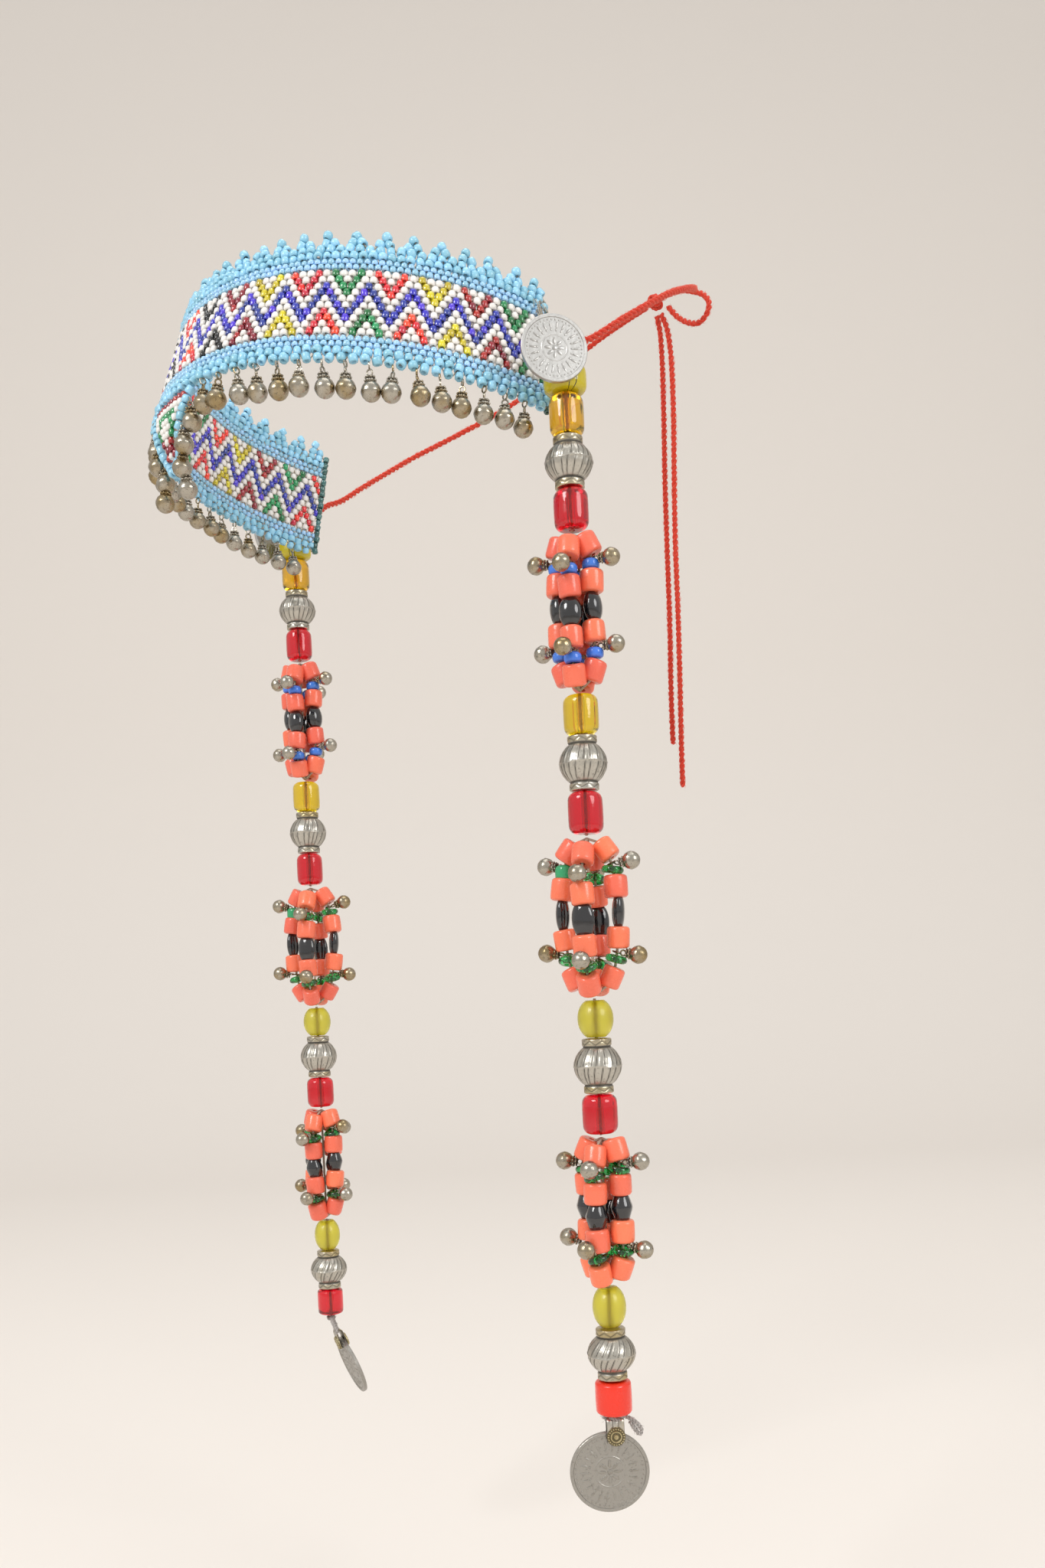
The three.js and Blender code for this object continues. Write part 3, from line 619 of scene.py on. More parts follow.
def columns_in(row, count=COLUMNS):
    """Bead places along a row: each row sits half a bead along from the one above it."""
    shift = 0.5 if row % 2 == 0 else 0.0
    return [i + shift for i in range(-(count // 2), count // 2) if i + shift > -count / 2 + 0.4]


def pattern_panel():
    beads = {}
    for row in range(PANEL_ROWS):
        height = PANEL_FROM + PANEL_ROW * (PANEL_ROWS - row - 0.5)
        for column in columns_in(row):
            name = panel_colour(row, column)
            whole = beads.setdefault(name, bmesh.new())
            place = netting_place(column * COLUMN_PITCH, height)
            if name == "white":
                seed(whole, ROUND_SEED, place, 2.52, 2.06)
            else:
                seed(whole, TUBE_SEED, place, 2.25, 2.12)
    for name, whole in beads.items():
        nodes = ["pattern_panel"] if name == "white" else []
        finish_piece(f"panel_{name}_beads", whole, SEEDS[name], "band", "white_glass", *nodes)


pattern_panel()

# Rows of light-blue beads: height, beads in the row, across, long, kind.
LOWER_ROWS = (
    (7.25, 118, 2.2, 1.75, "lustre"), (5.45, 118, 2.2, 1.75, "lustre"),
    (3.3, 88, 2.85, 2.35, "sky"), (1.0, 76, 2.85, 2.35, "sky"),
)
UPPER_ROWS = (
    (30.9, 118, 2.2, 1.7, "lustre"), (32.6, 118, 2.2, 1.7, "lustre"),
    (34.6, 92, 2.8, 2.2, "sky"), (36.7, 84, 2.85, 2.3, "sky"),
)


def border(name, rows, replaced):
    for kind in ("lustre", "sky"):
        whole = bmesh.new()
        for row, (height, count, across, long, look) in enumerate(rows):
            if look != kind:
                continue
            loose = look == "sky"
            for column in columns_in(row, count):
                out = chance.uniform(-0.25, 0.25) if loose else 0.0
                place = netting_place(column * 2 * HALF_ARC / count, height, out)
                shape = TUBE_SEED if loose and chance.random() < 0.45 else ROUND_SEED
                seed(whole, shape, place, across, long, 0.34 if loose else 0.16, 0.1 if loose else 0.07)
        nodes = [replaced] if kind == "sky" else []
        finish_piece(f"{name}_{kind}_beads", whole, SEEDS[kind], "band", "sky_glass", *nodes)


border("lower_border", LOWER_ROWS, "lower_border")
border("upper_border", UPPER_ROWS, "upper_border")

PICOTS = 31
PICOT_PITCH = 2 * HALF_ARC / PICOTS


def picot_edge():
    """Points of three beads along the top, with the thread that draws them up."""
    whole = bmesh.new()
    lines = []
    for i in range(PICOTS):
        middle = (i - (PICOTS - 1) / 2) * PICOT_PITCH
        lean = chance.choice((-1, 1)) * chance.uniform(0.2, 1.2)
        spots = [(-1.5, 38.9), (1.5, 38.9), (lean, 41.3)]
        for off, height in spots:
            place = netting_place(middle + off, height, chance.uniform(-0.35, 0.35))
            tipped = place @ Matrix.Rotation(0.5 * (off < 0) - 0.5 * (off > 0), 4, "Y")
            shape = TUBE_SEED if chance.random() < 0.35 else ROUND_SEED
            seed(whole, shape, tipped, 2.8, 2.35, 0.3, 0.1)
        foot = [(-3.9, 36.6), (-1.5, 38.9), (lean, 41.6), (1.5, 38.9), (3.9, 36.6)]
        lines.append([
            netting_place(middle + off, height).translation for off, height in foot
        ])
    finish_piece("picot_beads", whole, SEEDS["sky"], "band", "sky_glass", "picot_edge")
    return lines


def net_thread(lines):
    """The beading thread: a zigzag between each pair of rows, and the picots' own thread."""
    heights = [row[0] for row in reversed(LOWER_ROWS)]
    heights += [PANEL_FROM + PANEL_ROW * (i + 0.5) for i in range(PANEL_ROWS)]
    heights += [row[0] for row in UPPER_ROWS]
    for below, above in zip(heights, heights[1:]):
        line = []
        for i in range(2 * COLUMNS + 1):
            arc = (i / 2 - COLUMNS / 2) * COLUMN_PITCH
            height = below if i % 2 else above
            line.append(netting_place(arc, height, -0.35).translation)
        lines.append(line)
    finish_piece("net_thread", strands("net", lines, 0.3), COTTON, "band", "white_glass")


net_thread(picot_edge())


END_BEADS = 17
END_HAIRS = 26


def band_ends():
    """Turned ends: a column of dark teal beads and a frayed tuft of thread behind each coin."""
    whole = bmesh.new()
    tuft = []
    for _, side in SIDES:
        for i in range(END_BEADS):
            height = 1.5 + 2.2 * i
            place = netting_place(side * (HALF_ARC - 0.2), height, -1.2 + 0.5 * (i % 2))
            seed(whole, TUBE_SEED, place, 2.2, 2.1, 0.3)
        for _ in range(END_HAIRS):
            start = netting_place(side * (HALF_ARC - chance.uniform(1, 6)), chance.uniform(30, 35), 1.0)
            foot = start.translation
            away = Vector((side * chance.uniform(0.5, 2.2), chance.uniform(-2.5, 1.5), 0))
            bend = chance.uniform(1.5, 4.0)
            tuft.append([foot, foot + away * 0.6 + Vector((0, 0, bend * 0.2)),
                         foot + away + Vector((side * 0.6, 0, -bend))])
    finish_piece("end_teal_beads", whole, SEEDS["teal"], "band", "sky_glass")
    finish_piece("end_thread_tufts", strands("tuft", tuft, 0.09), COTTON, "band", "white_glass")


band_ends()


# ---- bells ----------------------------------------------------------------------------------
BALL = 3.0  # radius
BELL_DROP = 9.7


def torus(across, thick, sides=12, round_sides=6):
    """A wire ring about Z."""
    outline = [
        (across + thick * cos(a), thick * sin(a))
        for a in (2 * pi * i / round_sides for i in range(round_sides))
    ]
    return spun(outline, sides, True)


def bell_shape():
    """A hollow ball with a granulated neck and a wire ring, hanging from the origin."""
    middle = BALL - BELL_DROP
    ball = [
        (0, middle - BALL), (BALL * 0.34, middle - BALL * 0.94), (BALL * 0.64, middle - BALL * 0.77),
        (BALL * 0.87, middle - BALL * 0.5), (BALL * 0.98, middle - BALL * 0.2),
        (BALL * 1.02, middle - 0.1), (BALL * 1.02, middle + 0.1), (BALL * 0.97, middle + BALL * 0.25),
        (BALL * 0.84, middle + BALL * 0.54), (BALL * 0.6, middle + BALL * 0.8),
        (BALL * 0.42, middle + BALL * 0.92), (1.1, middle + BALL * 1.0), (0.95, -3.2), (1.25, -2.9),
        (1.25, -2.55), (0.7, -2.3), (0, -2.25),
    ]
    whole = spun(ball, 14)
    neck = torus(1.32, 0.36, 10, 5)
    bmesh.ops.translate(neck, verts=neck.verts, vec=(0, 0, middle + BALL * 1.0))
    ring = torus(0.9, 0.28)
    bmesh.ops.rotate(ring, verts=ring.verts, matrix=Matrix.Rotation(pi / 2, 3, "X"))
    bmesh.ops.translate(ring, verts=ring.verts, vec=(0, 0, -1.55))
    for part in (neck, ring):
        kept = bpy.data.meshes.new("part")
        part.to_mesh(kept)
        part.free()
        whole.from_mesh(kept)
    for level, (height, around, count) in enumerate(((-3.7, 1.55, 8), (-2.75, 1.3, 7))):
        for i in range(count):
            turn = 2 * pi * (i + 0.5 * level) / count
            spot = Matrix.Translation((around * cos(turn), around * sin(turn), height))
            bmesh.ops.create_icosphere(whole, subdivisions=1, radius=0.42, matrix=spot)
    return whole


BELL = pattern("bell", bell_shape(), lambda at: 0.7 if -4.3 < at.z < -2.2 and hypot(at.x, at.y) < 1.4
               else 0.0)
BELL_RING = pattern("bell_ring", torus(0.95, 0.26))


def hang_bell(whole, place, size=1.0):
    """A bell on its ring, turned and swung a little as a loose one is."""
    swing = jittered(0.12) @ Matrix.Rotation(chance.uniform(0, 2 * pi), 4, "Z")
    copy_in(whole, BELL, place @ swing @ Matrix.Scale(size, 4), chance.random())


BELL_PITCH = 6.8
BELL_THREAD = 0.9
BELL_GAP = 2.1  # band edge down to the underside of the bells' thread
FRINGE_START = 18.525  # along the edge from the brow to the first bell, clear of the tab's bells
GROUPS = (("brow", 6), ("middle", 5), ("temple", 5))


def bell_fringe():
    for side_name, side in SIDES:
        arc = FRINGE_START
        for group, count in GROUPS:
            whole = bmesh.new()
            for i in range(count):
                angle = angle_at(side * (arc + i * BELL_PITCH))
                hook = band_point(angle, 0) - Vector((0, 0, BELL_GAP - BELL_THREAD))
                copy_in(whole, BELL_RING, Matrix.Translation(hook + Vector((0, 0, 0.5)))
                        @ Matrix.Rotation(angle + pi / 2 + chance.uniform(-0.4, 0.4), 4, "Z")
                        @ Matrix.Rotation(pi / 2, 4, "X"), chance.random())
                hang_bell(whole, Matrix.Translation(hook + Vector((0, 0, 0.1))))
            name = f"bells_{side_name}_{group}"
            finish_piece(f"{name}_metal", whole, BELL_METAL, f"fringe_{side_name}_{group}", "silver",
                         name, sharp=50)
            arc += count * BELL_PITCH


bell_fringe()


# ---- the brow tab ---------------------------------------------------------------------------
TAB_TOP, TAB_TIP, TAB_DROP, TAB_BULGE = 22.0, 5.0, 17.5, 1.8
HINGE_GAP = 1.2
EDGING = 2.8
EDGING_OFF = EDGING / 2 + 0.65
EDGING_TIP_DROP = 2.2


def tab_point(across, down, margin=0.0):
    half = (TAB_TOP + (TAB_TIP - TAB_TOP) * down) / 2 + margin
    x = across * half
    curve = (1 - (x / HALF_WIDTH) ** 2) ** 0.5
    bulge = TAB_BULGE * sin(pi * min(down, 1))
    return Vector((x, -REACH * curve - bulge, EDGE_BROW - HINGE_GAP - down * TAB_DROP))


TAB_ROWS = 9
TAB_PITCH = 2.35  # bead to bead along a row


def tab_colour(row, column, half):
    """A wine row, a green outline with white inside and wine bands that close in at the tip."""
    if row == 0 or (row >= 6 and abs(column) > half - 1.2):
        return "wine"
    on_outline = row == 2 or abs(abs(column) - min(row, 8 - row) / 2) < 0.3
    if 2 <= row <= 5 and on_outline and abs(column) < 2.1:
        return "green"
    return "white"


def brow_tab():
    beads = {}
    lines = []
    for row in range(TAB_ROWS):
        down = (row + 0.5) / TAB_ROWS
        half = (TAB_TOP + (TAB_TIP - TAB_TOP) * down) / 2 / TAB_PITCH
        shift = 0.5 if row % 2 else 0.0
        columns = [i + shift for i in range(-6, 6) if abs(i + shift) <= half - 0.25]
        for column in columns:
            name = tab_colour(row, column, half)
            place = Matrix.Translation(tab_point(column / half, down))
            whole = beads.setdefault(name, bmesh.new())
            shape = ROUND_SEED if name == "white" else TUBE_SEED
            size = 2.4 if name == "white" else 2.1
            seed(whole, shape, place, size, 1.9)
        if row:
            lines.append([
                tab_point(i / 6 - 1, down - (i % 2) / TAB_ROWS) + Vector((0, 0.35, 0))
                for i in range(13)
            ])
    for name, whole in beads.items():
        nodes = ["brow_tab"] if name == "white" else []
        finish_piece(f"tab_{name}_beads", whole, SEEDS[name], "tab", "white_glass", *nodes)
    finish_piece("tab_thread", strands("tab", lines, 0.28), COTTON, "tab", "white_glass")


brow_tab()


def tab_edging():
    whole = bmesh.new()
    downs = (0.03, 0.35, 0.7, 1)
    tip = tab_point(0, 1) - Vector((0, 0, EDGING_OFF + EDGING_TIP_DROP))
    path = [tab_point(-1, down, EDGING_OFF) for down in downs]
    path += [tip] + [tab_point(1, down, EDGING_OFF) for down in reversed(downs)]
    line = smooth_line(path, 0.4)
    gone = 0.0
    for i in range(1, len(line)):
        gone += (line[i] - line[i - 1]).length
        if gone >= 2.5 or i == 1:
            gone = 0.0
            place = aimed(line[i], line[i] - line[i - 1])
            shape = TUBE_SEED if chance.random() < 0.4 else ROUND_SEED
            seed(whole, shape, place, 3.0, 2.4, 0.2, 0.08)
    finish_piece("tab_edging_beads", whole, SEEDS["sky"], "tab", "sky_glass", "tab_edging")


tab_edging()


TAB_BELLS = 4  # down each side
TAB_BELLS_FROM = 0.25  # share of the tab's drop at which the first one hangs


def tab_bells():
    off = EDGING_OFF + EDGING / 2 + TOUCH_GAP + BELL_THREAD
    lowest = 1 + (EDGING_TIP_DROP + EDGING) / TAB_DROP
    for side_name, side in SIDES:
        whole = bmesh.new()
        for i in range(TAB_BELLS):
            down = TAB_BELLS_FROM + (lowest - TAB_BELLS_FROM) * i / (TAB_BELLS - 1)
            hook = tab_point(side, min(down, 1), off)
            hook.z -= max(down - 1, 0) * TAB_DROP
            hang_bell(whole, Matrix.Translation(hook + Vector((0, 0, 0.4))))
            copy_in(whole, BELL_RING, Matrix.Translation(hook + Vector((-side * 0.6, 0, 0.3)))
                    @ Matrix.Rotation(pi / 2, 4, "X"), chance.random())
        name = f"tab_bells_{side_name}"
        finish_piece(f"{name}_metal", whole, BELL_METAL, "tab", "silver", name, sharp=50)


tab_bells()


# ---- coins ----------------------------------------------------------------------------------
def relief(whole, kept, radius, count, size, spot):
    """A ring of raised marks on a coin's face."""
    for i in range(count):
        turn = 2 * pi * i / count
        place = Matrix.Rotation(turn, 4, "Z") @ Matrix.Translation((radius, 0, spot))
        copy_in(whole, kept, place @ jittered(0.1) @ sized(*size))


def dome():
    shape = bmesh.new()
    bmesh.ops.create_icosphere(shape, subdivisions=2, radius=1)
    return shape


DOME = pattern("dome", dome())


def coin(diameter, raised):
    """A struck disc with a rim, a beaded ring, a wreath of leaves and a rosette, on both faces."""
    radius = diameter / 2
    half, sink = 0.7, 0.22
    field = half - sink
    outline = [
        (0, -field), (radius * 0.36, -field), (radius * 0.37, -field - 0.07),
        (radius * 0.39, -field - 0.07), (radius * 0.40, -field), (radius - 1.1, -field),
        (radius - 0.95, -half), (radius - 0.15, -half), (radius, -half + 0.15),
    ]
    outline += [(r, -z) for r, z in reversed(outline)]
    whole = spun(outline, 72)
    kept = bpy.data.meshes.new("disc")
    whole.to_mesh(kept)
    whole.clear()
    kept.attributes.new("shade", "FLOAT", "POINT")
    kept.attributes.new("hollow", "FLOAT", "POINT")
    whole.from_mesh(kept)
    for face in (1, -1):
        spot = face * field
        relief(whole, DOME, radius - 1.75, 46, (0.28, 0.28, 0.16 * raised), spot)
        relief(whole, DOME, radius * 0.66, 22, (1.15, 0.34, 0.17 * raised), spot)
        relief(whole, DOME, radius * 0.53, 22, (0.5, 0.3, 0.15 * raised), spot)
        relief(whole, DOME, radius * 0.2, 8, (radius * 0.11, 0.5, 0.2 * raised), spot)
        copy_in(whole, DOME, Matrix.Translation((0, 0, spot)) @ sized(0.8, 0.8, 0.3 * raised))
    return whole


def facing(side, turn):
    """Turns a disc that faces up so that it faces a direction round from the brow."""
    return Matrix.Rotation(side * radians(turn), 4, "Z") @ Matrix.Rotation(pi / 2, 4, "X")


def middle_of(name):
    low, high = (Vector(corner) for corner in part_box(name))
    return (low + high) / (2 * MM)


TEMPLE_COIN, PENDANT_COIN = 19.8, 23.6  # diameters
COIN_TURN = 66  # degrees round from the brow that a temple coin faces


def temple_coins():
    for side_name, side in SIDES:
        node_name = f"temple_coin_{side_name}"
        whole = coin(TEMPLE_COIN, 1.0)
        place = Matrix.Translation(middle_of(node_name)) @ facing(side, COIN_TURN)
        bmesh.ops.transform(whole, matrix=place, verts=whole.verts)
        finish_piece(f"{node_name}_struck", whole, COIN_METAL, f"strand_top_{side_name}", "silver",
                     node_name, sharp=22)


temple_coins()


# ---- strand beads ---------------------------------------------------------------------------
BORE = 0.9  # radius


def rounded(radius, half, flat, shoulder, steps=5):
    """The outline of a bored bead: its end face, rounded shoulders and its side."""
    points = [(BORE, -half), (radius * flat, -half)]
    for i in range(1, steps + 1):
        turn = pi / 2 * i / steps
        points.append((
            radius * flat + radius * (1 - flat) * sin(turn), -half + shoulder * (1 - cos(turn))
        ))
    points += [(radius * (1 + 0.012), -half * 0.3)]
    return points + [(r, -z) for r, z in reversed(points)]


def barrel(radius, half, flat=0.57, shoulder=0.4, squash=0.02):
    """A pressed bead, a little out of round."""
    whole = spun(rounded(radius, half, flat, half * shoulder), 40, True)
    slant = chance.uniform(-0.03, 0.03)
    phase = chance.uniform(0, pi)
    for vert in whole.verts:
        around = hypot(vert.co.x, vert.co.y)
        if around > BORE * 1.1:
            turn = Vector((vert.co.x, vert.co.y)).angle_signed(Vector((1, 0)))
            pull = 1 + squash * cos(2 * turn + phase)
            vert.co.x *= pull
            vert.co.y *= pull
            vert.co.z += slant * vert.co.x
    return whole


def olive(radius, half):
    """An olive-shaped bead."""
    points = [(BORE, -half * 0.98)]
    for i in range(13):
        turn = -1.12 + 2.24 * i / 12
        points.append((radius * cos(turn) ** 0.8, half * sin(turn) / sin(1.12)))
    points.append((BORE, half * 0.98))
    return spun(points, 40, True)


MELON_SIDES = 132
COLLAR = 2.3


def melon(radius, half, turned_ribs=False):
    """A ribbed hollow bead: scored lines above and below a seam, and stamped collars."""
    collar = radius * 0.62
    points = [(BORE, -half), (collar * 0.8, -half), (collar * 0.93, -half + 0.1)]
    points += [(collar, -half + 0.35 + i * (COLLAR - 0.7) / 6) for i in range(7)]
    points += [(collar * 0.94, -half + COLLAR)]
    rise = half - COLLAR - 0.3
    for i in range(13):
        share = i / 13
        points.append((
            radius * 0.57 + radius * 0.43 * sin(pi / 2 * share) ** 0.75, -rise + rise * share
        ))
    points.append((radius * 1.005, -0.16))
    points += [(radius * 1.02, -0.07)]
    whole = spun(points + [(r, -z) for r, z in reversed(points)], MELON_SIDES, True)
    ribs = 20
    above = [2 * pi * (i + chance.uniform(-0.28, 0.28)) / ribs for i in range(ribs)]
    below = [2 * pi * (i + chance.uniform(-0.28, 0.28)) / ribs for i in range(ribs)]
    slant = 0.06 if turned_ribs else 0.02
    dirt = {}
    for vert in whole.verts:
        x, y, z = vert.co
        around = hypot(x, y)
        if around < BORE * 1.1:
            continue
        turn = Vector((1, 0)).angle_signed(Vector((x, y)))
        deep = 0.0
        if abs(z) < rise and around > radius * 0.58:
            lines = above if z > 0 else below
            near = min(abs((turn + slant * z - line + pi) % (2 * pi) - pi) for line in lines)
            fade = min(1, (rise - abs(z)) / 1.0) * min(1, (abs(z) + 0.1) / 0.7)
            deep = exp(-(near * radius / 0.2) ** 2) * fade
            pull = 1 - 0.045 * deep + 0.022 * cos(near * ribs) * fade
            if abs(z) < 0.12:
                vert.co.z += 0.22 * sin(3 * turn + radius) + 0.1 * sin(7 * turn)
                deep = 0.5 * (abs(z) > 0.1)
        elif half - COLLAR < abs(z) < half:
            wave = abs((turn * 7 / pi) % 2 - 1) * 1.1 + 0.3
            off = abs(abs(z) - (half - COLLAR) - 0.15 - wave)
            deep = 0.75 * exp(-(off / 0.22) ** 2)
            pull = 1 - 0.05 * deep
        else:
            pull = 1
            deep = 0.8 if abs(abs(z) - rise) < 0.45 else 0.0
        vert.co.x *= pull
        vert.co.y *= pull
        dirt[vert.index] = deep
    mark = whole.verts.layers.float.new("hollow")
    tone = whole.verts.layers.float.new("shade")
    for vert in whole.verts:
        vert[mark] = dirt.get(vert.index, 0.3)
        vert[tone] = 0.9 if abs(vert.co.z) > half - COLLAR else 0.0
    return whole


STRAND_OUT, STRAND_BACK = 86.3, 1.2  # the strands' axes, out and back from the middle of the head


def on_strand(side, height):
    return Vector((side * STRAND_OUT, STRAND_BACK, height))


def string(name, side_name, body, top, bottom):
    """The strand's own thread, three plies, between two heights."""
    side = 1 if side_name == "left" else -1
    line = smooth_line([on_strand(side, z) for z in (top, (top + bottom) / 2, bottom)], 0.5)
    mesh = strands(name, plies(line, 0.26, 2.6, 3), 0.28, 6)
    finish_piece(f"{name}_{side_name}", mesh, COTTON, body, "white_glass")


STRAND = (
    ("painted_bead", "strand_top", "painted_yellow", lambda r, h: barrel(r, h, 0.5, 0.5, 0.035)),
    ("amber_barrel", "strand_top", "amber_glass", barrel),
    ("melon_bead_1", "strand_top", "silver", melon),
    ("red_barrel_1", "strand_top", "red_glass", barrel),
    ("yellow_barrel", "strand_upper", "amber_glass", barrel),
    ("melon_bead_2", "strand_upper", "silver", melon),
    ("red_barrel_2", "strand_upper", "red_glass", barrel),
    ("olive_bead_1", "strand_lower", "lime_glass", olive),
    ("melon_bead_3", "strand_lower", "silver", melon),
    ("red_barrel_3", "strand_lower", "red_glass", barrel),
    ("olive_bead_2", "strand_end", "lime_glass", olive),
    ("melon_bead_4", "strand_end", "silver", lambda r, h: melon(r, h, True)),
    ("end_bead", "strand_end", None, lambda r, h: barrel(r, h, 0.72, 0.22, 0.03)),
)


def painted_glass():
    """Olive-yellow glass with thin dark lines drawn down it in pairs."""
    made = glazed("painted_glass", (0.56, 0.49, 0.012), 0.1, 0.02, 0.14)
    tree = made.node_tree
    surface = tree.nodes["Principled BSDF"]
    base = surface.inputs["Base Color"].links[0].from_socket
    place = node(tree, "TexCoord").outputs["Object"]
    parts = node(tree, "SeparateXYZ", Vector=place)
    away = maths(tree, "ABSOLUTE", parts.outputs["X"])
    centred = maths(tree, "SUBTRACT", away, STRAND_OUT * MM)
    behind = maths(tree, "SUBTRACT", parts.outputs["Y"], STRAND_BACK * MM)
    turn = maths(tree, "ARCTAN2", behind, centred)
    sway = node(tree, "TexNoise", Vector=place, Scale=90.0).outputs["Fac"]
    swayed = maths(tree, "MULTIPLY_ADD", sway, 0.35, turn)
    first = 0.32
    marks = []
    for off in (0.0, first):
        wave = maths(tree, "PINGPONG", maths(tree, "ADD", swayed, off + 4 * pi), pi / 3)
        marks.append(maths(tree, "LESS_THAN", wave, 0.022))
    either = maths(tree, "MAXIMUM", marks[0], marks[1])
    mixed = node(tree, "Mix", {"data_type": "RGBA"}, _0=either, _6=base, _7=(0.012, 0.012, 0.006, 1))
    tree.links.new(mixed.outputs[2], surface.inputs["Base Color"])
    return made


LOOKS = {
    "painted_bead": painted_glass(), "amber_barrel": AMBER, "red_barrel": RUBY, "yellow_barrel": LEMON,
    "melon_bead": MELON_METAL, "olive_bead": LIME,
}


# Each hinged length's own thread: the heights of its top and its bottom.
STRINGS = {
    "top": (-5, -55.0), "upper": (-102.8, -144.6), "lower": (-193.0, -233.2), "end": (-277.8, -315.6),
}


def strand_beads():
    for side_name, side in SIDES:
        for name, body, slot, make in STRAND:
            node_name = f"{name}_{side_name}"
            low, high = (Vector(corner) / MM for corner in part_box(node_name))
            whole = make((high.y - low.y) / 2, (high.z - low.z) / 2)
            turn = Matrix.Rotation(chance.uniform(0, 2 * pi), 4, "Z")
            bmesh.ops.transform(
                whole, verts=whole.verts, matrix=Matrix.Translation((low + high) / 2) @ turn
            )
            look = LOOKS.get(name.rstrip("_1234"))
            if name == "end_bead":
                look, slot = (TOMATO, "coral") if side > 0 else (RUBY, "red_glass")
            finish_piece(f"{node_name}_made", whole, look, f"{body}_{side_name}", slot, node_name,
                         sharp=60)
        for part, (top, bottom) in STRINGS.items():
            string(f"{part}_string", side_name, f"strand_{part}_{side_name}", top, bottom)


strand_beads()


HANGER_HEIGHTS = (9.0, 12.0, 15.0)  # up the band's end
HANGER_FOOT = -5.6  # height of the hinge that the threads end at


def hangers():
    """Threads from the band's end to the strand's top, and from there to the coin's back."""
    for side_name, side in SIDES:
        top = on_strand(side, HANGER_FOOT)
        lines = []
        for height in HANGER_HEIGHTS:
            start = netting_place(side * (HALF_ARC - 1.5), height, 0.8).translation
            middle = (start + top) / 2 + Vector((0, 0.6, 0.8))
            lines += plies(smooth_line([start, middle, top], 0.6), 0.2, 2.2, 2)
        finish_piece(f"hanger_thread_{side_name}", strands("hanger", lines, 0.24, 6), COTTON, "band",
                     "white_glass")
        back = middle_of(f"temple_coin_{side_name}") + Vector((-side * 0.6, 0.3, 1.5))
        lines = []
        for lift in (0.3, 1.4):
            middle = (top + back) / 2 + Vector((0, 0, lift))
            lines += plies(smooth_line([top, middle, back], 0.6), 0.2, 2.2, 2)
        finish_piece(f"coin_thread_{side_name}", strands("tied", lines, 0.24, 6), COTTON,
                     f"strand_top_{side_name}", "white_glass")


hangers()


# ---- clusters -------------------------------------------------------------------------------
CORAL_BEAD = pattern("coral_bead", spun(rounded(3.5, 3.3, 0.7, 1.0), 18, True))
BLUE_BEAD = pattern("blue_bead", spun(rounded(2.6, 1.6, 0.5, 1.0, 4), 14, True))
ROUND_GREEN = pattern("round_green", spun(rounded(2.8, 2.3, 0.55, 1.2, 4), 14, True))
GREEN_DISC = pattern("green_disc", torus(2.2, 1.15, 20, 10))
JET_OVAL = pattern("jet_oval", olive(3.4, 4.3))
JET_CONE = pattern("jet_cone", spun(
    [(BORE, -4.2), (1.7, -4.2), (2.3, -3.2), (3.15, -0.7), (3.25, 0), (3.15, 0.7), (2.3, 3.2),
     (1.7, 4.2), (BORE, 4.2)], 12, True
))
SHARES = (0.1, 0.34, 0.66, 0.9)
# Per cluster: how far the loops stand off at their middle, the first loop's turn, the small beads.
CLUSTERS = {
    "1": (5.3, 20, "blue", "flat"), "2": (8.5, 45, "green", "oval"), "3": (5.6, 10, "green", "cone"),
}
INNER = 7 * 0.73


